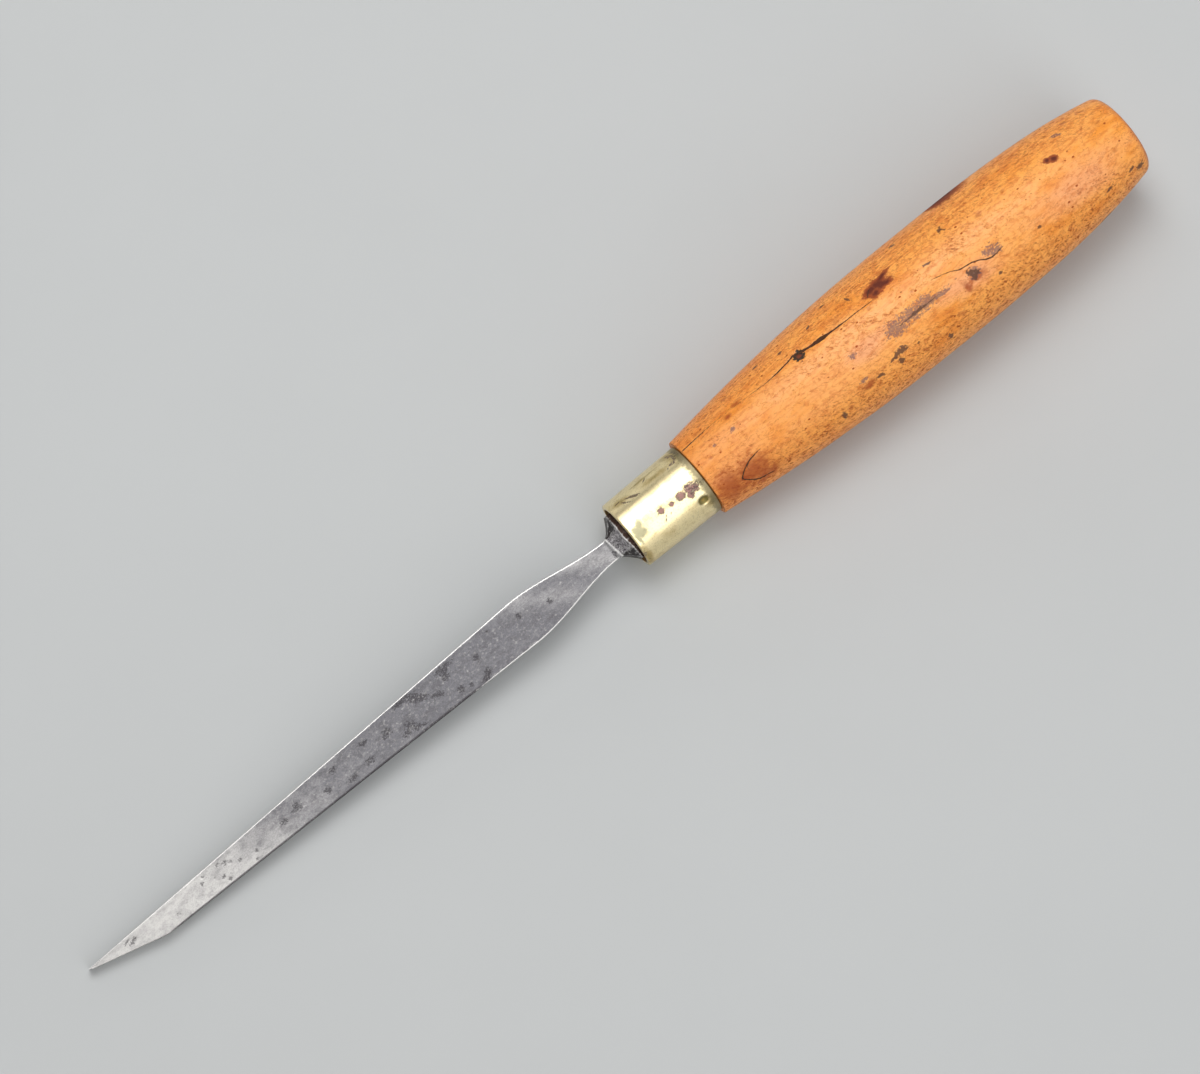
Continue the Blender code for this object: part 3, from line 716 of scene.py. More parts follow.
def blade_fields(x, depth, height, size):
    """What the blade's material reads at each point: brightness, wear and painted highlight, scale, the
    upper facet painted lighter as painted light, rust with painted shade of the gap, and painted shade along
    the face's edge.
    """
    on_bolster = ease((x + size.flare_reach - SCALE_START + RIDGE_SLANT * depth) / SCALE_RUN)
    upper_facet = (height > np.abs(depth)) & (x < -size.collar_reach)
    face_edge_shade = np.interp(x, EDGE_SHADE_PLACES, EDGE_SHADE_SHARES) * corner_columns(1.0, 1.0)
    return {
        "bright": np.interp(x + BRIGHT_SLANT * depth, BRIGHT_PLACES, BRIGHT_SHARES),
        "arris": worn_and_highlit_edges(x, depth, height, size),
        "forge_scale": on_bolster * (x < size.collar_length),
        # The bolster's upper facet, painted lighter as painted light
        "lit_and_rubbed": np.where(upper_facet, 1.0 - corner_columns(1.0, 1.0), 0.0),
        # The collar by the ferrule: rust and painted shade of the gap
        "rusty_and_gap_shade": ease((x + size.collar_reach - RUST_AND_SHADE_START) / RUST_AND_SHADE_RUN),
        # Painted shade along the face's lower edge
        "darkened": np.where(depth < 0.0, face_edge_shade, 0.0),
    }


def make_blade_piece(settings, butt):
    """Forged blade: ground sides with worn arrises, rust pits, a stoned bevel and a hammered bolster."""
    size = in_mm(settings)
    stations = blade_stations(size)
    rings = [section_ring(x, *section) for x, *section in zip(stations, *blade_section(stations, size))]
    rings = np.array(rings + bolster_rings(rings[-1], size))
    x, depth, height = np.moveaxis(rings, -1, 0)
    pits = np.where(height > 0.0, side_marks(x, depth, PITS), UNMARKED)
    piece = skin("blade_skin", forged_and_ground(rings, pits, size))
    set_fields(piece, pit=pits, **blade_fields(x, depth, height, size))
    settle(piece, "blade", tool_steel(settings), tool_frame(butt))


# Ferrule

def arc_profile(radius, along, rounding, start, end):
    """Points of a rounded edge in a turned profile, as distance along the tool and radius."""
    angles = np.linspace(start, end, RIM_POINTS)
    return np.column_stack([along + rounding * np.sin(angles), radius + rounding * np.cos(angles)])


def ferrule_profile(size):
    """Closed profile of the tube: front rim, outside, back rim and bore."""
    front = arc_profile(size.front_radius - size.front_rim, size.front_rim, size.front_rim, -QUARTER, 0.0)
    back = arc_profile(size.back_radius - size.back_rim, size.tube_length - size.back_rim, size.back_rim,
                       0.0, QUARTER)
    rows = int(size.tube_length / FERRULE_STEP)
    outside = np.linspace(front[-1], back[0], rows + 1)[1:-1]
    bore = np.linspace((size.tube_length, size.bore_radius), (0.0, size.bore_radius), BORE_ROWS)
    return np.concatenate([front, outside, back, bore])


def make_ferrule_piece(settings, butt):
    """Drawn brass tube with soft rims and waves, a punch mark, and sunk scratches and spots."""
    size = in_mm(settings)
    profile = ferrule_profile(size)
    degrees = np.linspace(-180.0, 180.0, FERRULE_COLUMNS, endpoint=False)[None, :]
    x, radius, degrees = np.broadcast_arrays(profile[:, :1], profile[:, 1:], degrees)
    fields = {name: round_marks(x, degrees, radius, marks) for name, marks in FERRULE_MARKS.items()}
    outside = radius > size.bore_radius + size.front_rim
    dimple = np.clip(fields["punched"], 0.0, 1.0)
    sink = PUNCH_DEPTH * dimple * (2.0 - dimple)
    sink += TUBE_WAVE * hollows(around(x, radius, degrees), TUBE_WAVE_SIZE)
    sink += SCRATCH_DEPTH * sunk_share(fields["scratched"])
    sink += SPOT_DEPTH * sunk_share(np.maximum(fields["coppered"], fields["stained"]), SPOT_STEEPNESS)
    piece = skin("ferrule_skin", around(x, radius - sink * outside, degrees), joined=True)
    set_fields(piece, grimy=np.interp(x, RIM_GRIME_PLACES, RIM_GRIME_SHARES), **fields)
    settle(piece, "ferrule", drawn_brass(settings), tool_frame(butt))


# Handle

def barrel_radius(x, size):
    """Radius of the barrel: full at the belly, falling off faster and faster towards both ends."""
    from_shoulder = x - size.shoulder
    front = np.clip(1.0 - from_shoulder / size.belly_place, 0.0, 1.0)
    rear = np.clip((from_shoulder - size.belly_place) / (size.barrel_length - size.belly_place), 0.0, 1.0)
    return (size.belly_radius - (size.belly_radius - size.shoulder_radius) * front ** FRONT_FULLNESS
            - (size.belly_radius - size.butt_radius) * rear ** REAR_FULLNESS)


def butt_edge(size):
    """Rounded edge of the butt, from the barrel to the crown."""
    lean = math.atan(REAR_FULLNESS * (size.belly_radius - size.butt_radius)
                     / (size.barrel_length - size.belly_place))
    return arc_profile(size.butt_radius - size.butt_round * math.cos(lean),
                       size.shoulder + size.barrel_length - size.butt_round * math.sin(lean),
                       size.butt_round, lean, BUTT_TURN)


def butt_place(size):
    """Distance along the tool of the flat in the middle of the butt."""
    return butt_edge(size)[-1, 0] + size.butt_crown


def handle_profile(size):
    """Profile from the spigot's end, over the shoulder and the barrel, to the middle of the butt."""
    spigot_end = (size.spigot_recess, size.spigot_radius)
    spigot = np.linspace(spigot_end, (size.shoulder, size.spigot_radius), SPIGOT_ROWS)
    shoulder = arc_profile(size.shoulder_radius - size.shoulder_round, size.shoulder + size.shoulder_round,
                           size.shoulder_round, -QUARTER, 0.0)
    start, edge = size.shoulder + size.shoulder_round, butt_edge(size)
    x = np.linspace(start, edge[0, 0], int((edge[0, 0] - start) / BARREL_STEP))[1:-1]
    barrel = np.column_stack([x, barrel_radius(x, size)])
    radii = np.linspace(edge[-1, 1], CENTRE_RADIUS, CROWN_ROWS)[1:]
    rise = ease((edge[-1, 1] - radii) / (edge[-1, 1] - size.butt_flat_radius))
    crown = np.column_stack([edge[-1, 0] + size.butt_crown * rise, radii])
    return np.concatenate([spigot, shoulder, barrel, edge, crown])


def hole_rings(size, degrees):
    """Tapered square tang hole, from its blind end to its mouth, and the spigot's end round it."""
    angle = np.radians(degrees)
    square = 1.0 / np.maximum(np.abs(np.sin(angle)), np.abs(np.cos(angle)))
    x = np.linspace(size.hole_depth, size.spigot_recess, HOLE_ROWS)[:, None]
    half = np.interp(x, (size.spigot_recess, size.hole_depth), (size.hole_root / 2, size.hole_end / 2))
    wall = around(x, half * square, degrees)
    spread = np.linspace(0.0, 1.0, FACE_ROWS)[1:-1, None]
    mouth = size.hole_root / 2 * square
    radius = mouth + (size.spigot_radius - mouth) * spread
    return np.concatenate([wall, around(np.full_like(radius, size.spigot_recess), radius, degrees)])


def dent_field(x, degrees, radius):
    """Depth in mm of the small dents that years of work have left all over the handle."""
    dice = np.random.default_rng(DENT_SEED)
    depth = np.zeros(x.shape)
    for _ in range(DENTS):
        place, turn = dice.uniform(*DENT_PLACES), dice.uniform(-180.0, 180.0)
        reach, deep = dice.uniform(*DENT_REACHES), dice.uniform(*DENT_DEPTHS)
        width = dice.uniform(*DENT_WIDTHS)
        away = np.remainder(degrees - turn + 180.0, 360.0) - 180.0
        share = ((x - place) / reach) ** 2 + (np.radians(away) * radius / (reach * width)) ** 2
        depth = np.maximum(depth, deep * np.clip(1.0 - share, 0.0, 1.0) ** 2)
    return depth


def handle_columns():
    """Degrees round the handle of its columns of points, closer together on the side that faces up."""
    upper = np.linspace(-UPPER_DEGREES, UPPER_DEGREES, UPPER_COLUMNS, endpoint=False)
    under = np.linspace(UPPER_DEGREES, 360.0 - UPPER_DEGREES, UNDER_COLUMNS, endpoint=False)
    degrees = np.concatenate([upper, under])
    return np.where(degrees > 180.0, degrees - 360.0, degrees)[None, :]


def make_handle_piece(settings):
    """Turned barrel worn by the hand, with its checks, knot and dents sunk into the wood."""
    size = in_mm(settings)
    degrees = handle_columns()
    profile = handle_profile(size)
    x, radius, turn = np.broadcast_arrays(profile[:, :1], profile[:, 1:], degrees)
    fields = {name: round_marks(x, turn, radius, marks) for name, marks in HANDLE_MARKS.items()}
    offset, half = check_fields(x, turn, radius)
    dents = dent_field(x, turn, radius)
    outside = (x > size.shoulder + size.shoulder_round) & (radius > size.butt_flat_radius)
    sink = HAND_WEAR * hollows(around(x, radius, turn), HAND_WEAR_SIZE) + dents
    sink += np.clip(CHECK_STEEPNESS * (half - np.abs(offset)), 0.0, CHECK_DEPTH)
    sink += KNOT_DEPTH * sunk_share(fields["knot"])
    hole = hole_rings(size, degrees)
    piece = skin("handle_skin", np.concatenate([hole, around(x, radius - sink * outside, turn)]))
    fields.update(check_offset=offset, check_half=half, dent=dents,
                  ruddy=np.interp(x, RUDDY_PLACES, RUDDY_SHARES),
                  # The butt's edge: darker end grain, and painted shade where the edge turns away
                  end_grain=ease((x - butt_edge(size)[0, 0]) / size.butt_round),
                  # Wood inside the ferrule: grime and painted shade
                  grimy=np.where(x < size.shoulder, HIDDEN_SHADE_AND_GRIME, UNMARKED))
    for name, field in fields.items():
        inside = HIDDEN_SHADE_AND_GRIME if name == "grimy" else UNMARKED
        fields[name] = np.concatenate([np.full(hole.shape[:2], inside), field])
    set_fields(piece, **fields)
    settle(piece, "handle", boxwood(settings), tool_frame(butt_place(size)))


# Materials

def add(tree, kind, links=None, **settings):
    """Add one node with its settings: a socket among its links is joined on, and any other value is set."""
    node = tree.nodes.new(kind)
    for name, value in settings.items():
        setattr(node, name, value)
    for socket, value in (links or {}).items():
        if isinstance(value, bpy.types.NodeSocket):
            tree.links.new(value, node.inputs[socket])
        else:
            node.inputs[socket].default_value = value
    return node


def per_mm(along, across):
    """Scale that gives a pattern features of these sizes in mm, along the tool and across it."""
    return (1.0 / along, 1.0 / across, 1.0 / across)


def new_surface(name):
    """Empty material: its nodes, its shader and each point's place in the tool's own frame, in mm."""
    material = bpy.data.materials.new(name)
    material.use_nodes = True
    tree = material.node_tree
    place = add(tree, "ShaderNodeAttribute", attribute_name="tool_place").outputs["Vector"]
    return material, tree, tree.nodes["Principled BSDF"], place


def pattern(tree, place, along, across, detail):
    """Noise from 0 to 1 with features of these sizes in mm, along the tool and across it."""
    scaled = add(tree, "ShaderNodeVectorMath", {0: place, 1: per_mm(along, across)}, operation="MULTIPLY")
    return add(tree, "ShaderNodeTexNoise", {"Vector": scaled.outputs[0], "Scale": 1.0, "Detail": detail,
                                            "Roughness": 0.6}).outputs["Fac"]


def mask_where(tree, share, *factors):
    """Mask of a share: the product of some masks, and of some (value, low, high), each a mask that rises
    softly from none where its value is low to full where it is high."""
    for factor in factors:
        if isinstance(factor, tuple):
            value, low, high = factor
            rise = add(tree, "ShaderNodeMapRange", {"Value": value, "From Min": low, "From Max": high},
                       interpolation_type="SMOOTHSTEP")
            factor = rise.outputs["Result"]
        share = add(tree, "ShaderNodeMath", {0: share, 1: factor}, operation="MULTIPLY").outputs[0]
    return share


def ragged_mark(tree, field, ragged, amount, soft, share=1.0, inset=0.0):
    """Mask of a mark kept on the mesh, its edge broken up by a noise and set in from the mark's outline."""
    mark = add(tree, "ShaderNodeAttribute", attribute_name=field).outputs["Fac"]
    broken = add(tree, "ShaderNodeMath", {0: ragged, 1: amount, 2: mark}, operation="MULTIPLY_ADD")
    edge = amount / 2 + inset
    return mask_where(tree, share, (broken.outputs[0], edge, edge + soft))


def check_mask(tree, ragged, share=1.0, inset=0.0):
    """Mask of the checks in the wood: inside wherever the distance to one is less than its half width."""
    offset = add(tree, "ShaderNodeAttribute", attribute_name="check_offset").outputs["Fac"]
    half = add(tree, "ShaderNodeAttribute", attribute_name="check_half").outputs["Fac"]
    away = add(tree, "ShaderNodeMath", {0: offset}, operation="ABSOLUTE").outputs[0]
    inside = add(tree, "ShaderNodeMath", {0: half, 1: away}, operation="SUBTRACT").outputs[0]
    broken = add(tree, "ShaderNodeMath", {0: ragged, 1: CHECK_RAGGED, 2: inside}, operation="MULTIPLY_ADD")
    edge = CHECK_SOFT + inset
    return mask_where(tree, share, (broken.outputs[0], edge, edge + CHECK_SOFT))


def speck_mask(tree, place, size, low, width, share):
    """Mask of specks, one in each cell of that size in mm whose chance passes low, with a half width that
    grows with the chance up to a share of the cell."""
    stretch = per_mm(size * SPECK_STRETCH, size)
    scaled = add(tree, "ShaderNodeVectorMath", {0: place, 1: stretch}, operation="MULTIPLY")
    cells = add(tree, "ShaderNodeTexVoronoi", {"Vector": scaled.outputs[0], "Scale": 1.0})
    chance = add(tree, "ShaderNodeSeparateColor", {"Color": cells.outputs["Color"]}).outputs[0]
    reach = add(tree, "ShaderNodeMapRange", {"Value": chance, "From Min": low, "To Max": width})
    inside = add(tree, "ShaderNodeMath", {0: reach.outputs["Result"], 1: cells.outputs["Distance"]},
                 operation="SUBTRACT")
    return mask_where(tree, share, (inside.outputs[0], 0.0, SPECK_SOFT))


def line_mask(tree, wavy, width, share):
    """Mask of fine lines: the contours of a noise where it passes its middle value."""
    past = add(tree, "ShaderNodeMath", {0: wavy, 1: 0.5}, operation="SUBTRACT").outputs[0]
    away = add(tree, "ShaderNodeMath", {0: past}, operation="ABSOLUTE").outputs[0]
    return mask_where(tree, share, (away, width, 0.0))


def paint(tree, shader, under, *layers):
    """Give the shader a ground colour with layers of (mask, colour) laid over it, one over another."""
    for cover, over in layers:
        mix = add(tree, "ShaderNodeMix", {FACTOR: cover, UNDER: under, OVER: over}, data_type="RGBA")
        under = mix.outputs[MIXED]
    tree.links.new(under, shader.inputs["Base Color"])


def vary(tree, socket, masks, plain, changed):
    """Give a socket of the shader its plain value, or a changed one where any of some masks is."""
    most = 0.0
    for mask in masks:
        most = add(tree, "ShaderNodeMath", {0: most, 1: mask}, operation="MAXIMUM").outputs[0]
    value = add(tree, "ShaderNodeMapRange", {"Value": most, "To Min": plain, "To Max": changed})
    tree.links.new(value.outputs["Result"], socket)


def relief(tree, shader, heights, strength, depth):
    """Give the shader fine relief of a depth in mm, from patterns given as (height, share)."""
    total = 0.0
    for height, share in heights:
        total = add(tree, "ShaderNodeMath", {0: height, 1: share, 2: total},
                    operation="MULTIPLY_ADD").outputs[0]
    bump = add(tree, "ShaderNodeBump", {"Height": total, "Strength": strength, "Distance": depth * MM})
    tree.links.new(bump.outputs["Normal"], shader.inputs["Normal"])


def growth_ring(tree, place, broad):
    """Wave that rises and falls with each year's growth, a little uneven, round the tree's pith."""
    from_pith = add(tree, "ShaderNodeVectorMath", {0: place, 1: PITH}, operation="SUBTRACT").outputs[0]
    across = add(tree, "ShaderNodeVectorMath", {0: from_pith, 1: (0.0, 1.0, 1.0)}, operation="MULTIPLY")
    reach = add(tree, "ShaderNodeVectorMath", {0: across.outputs[0]}, operation="LENGTH").outputs["Value"]
    turn = add(tree, "ShaderNodeMath", {0: reach, 1: math.tau / RING_WIDTH, 2: broad},
               operation="MULTIPLY_ADD")
    return add(tree, "ShaderNodeMath", {0: turn.outputs[0]}, operation="SINE").outputs[0]


def work_marks(tree, place, broad, mottle, lower, upper):
    """Masks of the slanting strokes and gouges of rough use, and of the dirt deep in the gouges: most are on
    the handle's lower and upper sides, and some in patches between."""
    turned = add(tree, "ShaderNodeVectorRotate", {"Vector": place, "Angle": STROKE_SLANT},
                 rotation_type="Z_AXIS")
    slanted = turned.outputs["Vector"]
    stroke = pattern(tree, slanted, along=0.9, across=0.3, detail=4.0)
    gouge = pattern(tree, slanted, along=1.7, across=0.5, detail=5.0)
    used = mask_where(tree, 0.6, (broad, 0.5, 0.62))
    for side in (mask_where(tree, 1.0, lower), mask_where(tree, 0.6, upper)):
        used = add(tree, "ShaderNodeMath", {0: used, 1: side}, operation="MAXIMUM").outputs[0]
    strokes = mask_where(tree, 0.85, (stroke, 0.54, 0.6), (mottle, 0.4, 0.56), used)
    gouges = mask_where(tree, 0.85, (gouge, 0.575, 0.62), used)
    cuts = add(tree, "ShaderNodeMath", {0: strokes, 1: gouges}, operation="MAXIMUM").outputs[0]
    return cuts, mask_where(tree, 0.55, (gouge, 0.62, 0.68), gouges)


def boxwood(colours):
    """Boxwood, turned, oiled and polished by years in the hand: so close-grained that it is all one warm
    orange with a soft waxy sheen, where only streaks, dents with dirt in them and a few checks and burns
    stand out. Its colour also holds painted sheen along the top, and painted shade on the sides, at the
    butt's edge and inside the ferrule."""
    material, tree, shader, place = new_surface("boxwood_turned_and_hand_polished")
    broad = pattern(tree, place, along=14.0, across=5.0, detail=3.0)
    streak = pattern(tree, place, along=4.0, across=0.5, detail=5.0)
    mottle = pattern(tree, place, along=1.4, across=0.9, detail=6.0)
    ragged = pattern(tree, place, along=0.7, across=0.5, detail=5.0)
    fine = pattern(tree, place, along=0.4, across=0.25, detail=3.0)
    # The top is polished by the hand and painted paler as painted sheen, and the sides are worked,
    # dirt-covered and leather-like, and painted darker as painted shade
    side = add(tree, "ShaderNodeSeparateXYZ", {"Vector": place}).outputs["Y"]
    lower, upper = (side, -SHEEN_AND_POLISH_EDGE, -SHADE_AND_WORK_EDGE), (side, SHEEN_AND_POLISH_EDGE, SHADE_AND_WORK_EDGE)
    from_top = add(tree, "ShaderNodeMath", {0: side}, operation="ABSOLUTE").outputs[0]
    leathery_and_shaded = add(tree, "ShaderNodeMapRange", {"Value": from_top, "From Min": SHEEN_AND_POLISH_EDGE, "To Min": 0.4,
                                                "From Max": SHADE_AND_WORK_EDGE, "To Max": 1.0},
                   interpolation_type="SMOOTHSTEP").outputs["Result"]
    cuts, cut_dirt = work_marks(tree, place, broad, mottle, lower, upper)
    # Boxwood's own pores are too fine to show, so these are drawn a few times coarser
    pores = speck_mask(tree, place, size=1.1, low=0.6, width=0.23, share=0.9)
    specks = speck_mask(tree, place, size=3.3, low=0.64, width=0.13, share=0.85)
    wavy = pattern(tree, place, along=5.0, across=2.2, detail=6.0)
    scribbles = line_mask(tree, wavy, width=0.01, share=0.5)
    checks = check_mask(tree, ragged)
    charred = ragged_mark(tree, "burnt", ragged, amount=1.0, soft=0.35, share=0.9)
    smudged = ragged_mark(tree, "smudged", ragged, amount=2.6, soft=0.4)
    ring = growth_ring(tree, place, broad)
    end_grain = add(tree, "ShaderNodeAttribute", attribute_name="end_grain").outputs["Fac"]
    paint(
        tree, shader, colours.amber,
        (mask_where(tree, 1.0, (broad, 0.3, 0.5)), colours.honey),
        # Painted sheen along the top
        (mask_where(tree, 0.25, (from_top, SHADE_AND_WORK_EDGE, SHEEN_AND_POLISH_EDGE), (broad, 0.3, 0.6)), colours.sheen_peach),
        # Pale patches near the top: painted sheen
        (ragged_mark(tree, "sheen_paled", broad, amount=1.0, soft=0.9, share=0.8), colours.sheen_peach),
        # Darker lower side: dirt and painted shade
        (mask_where(tree, 0.2, lower, (mottle, 0.3, 0.7)), colours.brown),
        (ragged_mark(tree, "ruddy", broad, amount=1.6, soft=1.0, share=0.25), colours.russet),
        # Russet streaks on the upper side: grain and painted shade
        (mask_where(tree, 0.46, upper, (streak, 0.46, 0.58)), colours.russet),
        (mask_where(tree, 0.3, (streak, 0.5, 0.64)), colours.russet),
        (mask_where(tree, 0.35, (mottle, 0.5, 0.64)), colours.russet),
        # End grain at the butt's edge: darker wood, and painted shade where the edge turns away
        (mask_where(tree, 0.5, end_grain), colours.brown),
        (mask_where(tree, 0.4, end_grain, (ring, 0.0, 1.0)), colours.russet),
        (mask_where(tree, 0.55, end_grain, (broad, 0.35, 0.65)), colours.brown),
        (ragged_mark(tree, "browned", mottle, amount=0.9, soft=0.8, share=0.8), colours.brown),
        # Worked sides: texture of use, and painted shade
        (mask_where(tree, 0.36, leathery_and_shaded, (fine, 0.5, 0.64)), colours.russet),
        (mask_where(tree, 0.42, leathery_and_shaded, (ragged, 0.57, 0.66)), colours.brown),
        (scribbles, colours.brown),
        (cuts, colours.brown),
        (cut_dirt, colours.grime),
        (ragged_mark(tree, "dent", mottle, amount=0.12, soft=0.08, share=0.5), colours.brown),
        (pores, colours.brown),
        (specks, colours.grime),
        (mask_where(tree, 0.7, smudged, (fine, 0.3, 0.5)), colours.smudge),
        (ragged_mark(tree, "bruised", ragged, amount=2.8, soft=0.3, share=0.9), colours.bruise),
        (charred, colours.scorch),
        (ragged_mark(tree, "burnt", mottle, amount=1.0, soft=0.5, share=0.9, inset=0.3), colours.burn),
        # Wood inside the ferrule: grime and painted shade
        (ragged_mark(tree, "grimy", fine, amount=0.6, soft=0.5, share=0.85), colours.grime),
        (ragged_mark(tree, "knot", ragged, amount=1.6, soft=0.25), colours.check),
        (ragged_mark(tree, "knot", fine, amount=1.6, soft=0.3, share=0.55, inset=0.5), colours.brown),
        (checks, colours.check),
        (check_mask(tree, fine, share=0.85, inset=CHECK_DIRT), colours.bruise),
    )
    worn_in = cuts
    for marks in (pores, specks, scribbles):
        worn_in = add(tree, "ShaderNodeMath", {0: worn_in, 1: marks}, operation="MAXIMUM").outputs[0]
    dry = (checks, charred, worn_in, mask_where(tree, 0.22, (mottle, 0.3, 0.8)))
    vary(tree, shader.inputs["Roughness"], dry, plain=0.31, changed=0.85)
    shader.inputs["Specular IOR Level"].default_value = 0.33
    relief(tree, shader, ((mottle, 1.0), (worn_in, -0.8), (streak, 0.5)), strength=0.48, depth=0.1)
    return material


def drawn_brass(colours):
    """Brass tube, drawn and polished: a pale gold mirror a little blurred by wear, that shows the lamp as
    one white band, and goes olive, coppery or dark where it has tarnished or polish never reaches."""
    material, tree, shader, place = new_surface("brass_drawn_and_polished")
    cloud = pattern(tree, place, along=4.0, across=3.0, detail=4.0)
    ragged = pattern(tree, place, along=0.7, across=0.6, detail=5.0)
    fine = pattern(tree, place, along=0.3, across=0.3, detail=3.0)
    # The lines that the drawing die leaves are too fine to show, so these are drawn a few times coarser
    drawn = pattern(tree, place, along=6.0, across=0.18, detail=2.0)
    coppered = ragged_mark(tree, "coppered", ragged, amount=1.6, soft=0.4, share=0.85)
    spotted = ragged_mark(tree, "stained", ragged, amount=2.4, soft=0.45)
    stained = mask_where(tree, 0.9, spotted, (fine, 0.6, 0.46))
    dulled = ragged_mark(tree, "dulled", ragged, amount=0.9, soft=0.5, share=0.85)
    grimy = ragged_mark(tree, "grimy", ragged, amount=0.9, soft=0.6, share=0.75)
    punched = ragged_mark(tree, "punched", ragged, amount=0.5, soft=0.3, share=0.85)
    paint(
        tree, shader, colours.brass,
        (mask_where(tree, 0.4, (cloud, 0.45, 0.75)), colours.tarnish),
        (mask_where(tree, 0.3, (fine, 0.5, 0.66)), colours.tarnish),
        (ragged_mark(tree, "tarnished", cloud, amount=1.2, soft=0.8, share=0.6), colours.tarnish),
        (ragged_mark(tree, "tarnished", ragged, amount=1.6, soft=0.7, share=0.5, inset=0.5), colours.olive),
        (dulled, colours.dull),
        (coppered, colours.stain),
        (ragged_mark(tree, "coppered", fine, amount=1.6, soft=0.4, share=0.85, inset=0.25), colours.copper),
        (ragged_mark(tree, "scratched", ragged, amount=1.2, soft=0.4, share=0.8), colours.stain),
        (punched, colours.olive),
        (ragged_mark(tree, "punched", ragged, amount=0.9, soft=0.3, share=0.7, inset=0.6), colours.tarnish),
        (stained, colours.stain),
        (mask_where(tree, 0.8, stained, (fine, 0.48, 0.58)), colours.copper),
        (mask_where(tree, 0.8, stained, (ragged, 0.46, 0.38)), colours.dull),
        (grimy, colours.grime),
    )
    darkened = (dulled, coppered, stained, grimy)
    blurred = (*darkened, punched, mask_where(tree, 0.4, (cloud, 0.4, 0.7)))
    vary(tree, shader.inputs["Roughness"], blurred, plain=0.29, changed=0.52)
    vary(tree, shader.inputs["Metallic"], darkened, plain=1.0, changed=0.4)
    relief(tree, shader, ((drawn, 1.0), (ragged, 0.5), (cloud, 3.0)), strength=0.2, depth=0.05)
    return material


def tool_steel(colours):
    """Tool steel, forged, ground and left to age: bright where the stone and the hand keep it clean, a
    mottled grey patina with rust pits higher up, white arrises that are worn and partly painted highlight,
    painted shade along the face's lower edge, and black scale on the bolster, its upper facet painted
    lighter as painted light and its collar's side painted dark as rust and the shade of the gap at the
    ferrule's mouth."""
    material, tree, shader, place = new_surface("tool_steel_forged_and_ground")
    cloud = pattern(tree, place, along=7.0, across=3.0, detail=4.0)
    blotch = pattern(tree, place, along=3.4, across=1.8, detail=6.0)
    mottle = pattern(tree, place, along=1.5, across=1.0, detail=6.0)
    ragged = pattern(tree, place, along=0.7, across=0.6, detail=5.0)
    grit = pattern(tree, place, along=0.5, across=0.42, detail=6.0)
    fine = pattern(tree, place, along=0.32, across=0.26, detail=4.0)
    # The lines that the grinding wheel leaves are too fine to show, so these are drawn a few times coarser
    lines = pattern(tree, place, along=0.25, across=3.0, detail=2.0)
    bright = ragged_mark(tree, "bright", cloud, amount=0.6, soft=1.0)
    # Mottling and pits are fainter where the steel has been kept bright
    mottling = add(tree, "ShaderNodeMapRange", {"Value": bright, "To Min": 1.0, "To Max": 0.42})
    pitting = add(tree, "ShaderNodeMapRange", {"Value": bright, "To Min": 1.0, "To Max": 0.75})
    aged, rusted = mottling.outputs["Result"], pitting.outputs["Result"]
    pitted = ragged_mark(tree, "pit", grit, amount=3.4, soft=0.35)
    pits = mask_where(tree, 0.84, pitted, (fine, 0.34, 0.52), rusted)
    # White arrises, ridge and rim: wear and painted highlight
    arris = ragged_mark(tree, "arris", ragged, amount=0.9, soft=0.6, share=0.9)
    scale = ragged_mark(tree, "forge_scale", ragged, amount=0.6, soft=0.4)
    lit_upper_facet = ragged_mark(tree, "lit_and_rubbed", mottle, amount=1.8, soft=0.9)
    lit_and_rubbed = mask_where(tree, 1.0, scale, lit_upper_facet, (fine, 0.66, 0.44))
    scuffs = line_mask(tree, mottle, width=0.05, share=0.5)
    rust = ragged_mark(tree, "rusty_and_gap_shade", ragged, amount=0.8, soft=0.5, share=0.9)
    paint(
        tree, shader, colours.patina,
        (bright, colours.ground),
        (mask_where(tree, 0.5, aged, (blotch, 0.46, 0.66)), colours.clouded),
        (mask_where(tree, 0.5, aged, (mottle, 0.48, 0.66)), colours.clouded),
        (mask_where(tree, 0.42, aged, (fine, 0.48, 0.6)), colours.clouded),
        (mask_where(tree, 0.09, (fine, 0.46, 0.36)), colours.ground),
        (pits, colours.pitted),
        (scale, colours.scale),
        # Lighter upper facet of the bolster: painted light, with real scuffs over it
        (lit_and_rubbed, colours.lit_and_rubbed),
        (mask_where(tree, 1.0, lit_and_rubbed, scuffs), colours.worn),
        (mask_where(tree, 0.45, scale, (ragged, 0.58, 0.66)), colours.ground),
        # Dark brown on the collar by the ferrule: rust and painted shade of the gap
        (mask_where(tree, 1.0, scale, rust), colours.rust),
        # Painted shade along the face's lower edge
        (ragged_mark(tree, "darkened", ragged, amount=0.8, soft=0.6, share=0.8), colours.pitted),
        # White arrises: wear and painted highlight
        (arris, colours.worn),
    )
    vary(tree, shader.inputs["Roughness"], (bright, arris), plain=0.55, changed=0.4)
    vary(tree, shader.inputs["Metallic"], (scale, pits), plain=1.0, changed=0.2)
    shader.inputs["Specular IOR Level"].default_value = 0.15
    relief(tree, shader, ((mottle, 1.0), (fine, 0.8), (lines, 0.3)), strength=0.4, depth=0.06)
    return material


def painted_board(colours):
    """Board with matt paint: an even pale grey with the faintest clouding, that only carries shadows."""
    material, tree, shader, place = new_surface("board_painted_matt_grey")
    cloud = pattern(tree, place, along=60.0, across=60.0, detail=5.0)
    clouded = tuple(Vector(colours.floor) * FLOOR_CLOUD_SHADE)
    paint(tree, shader, colours.floor, (mask_where(tree, 0.5, (cloud, 0.3, 0.8)), clouded))
    shader.inputs["Roughness"].default_value = 0.85
    return material


# Stage

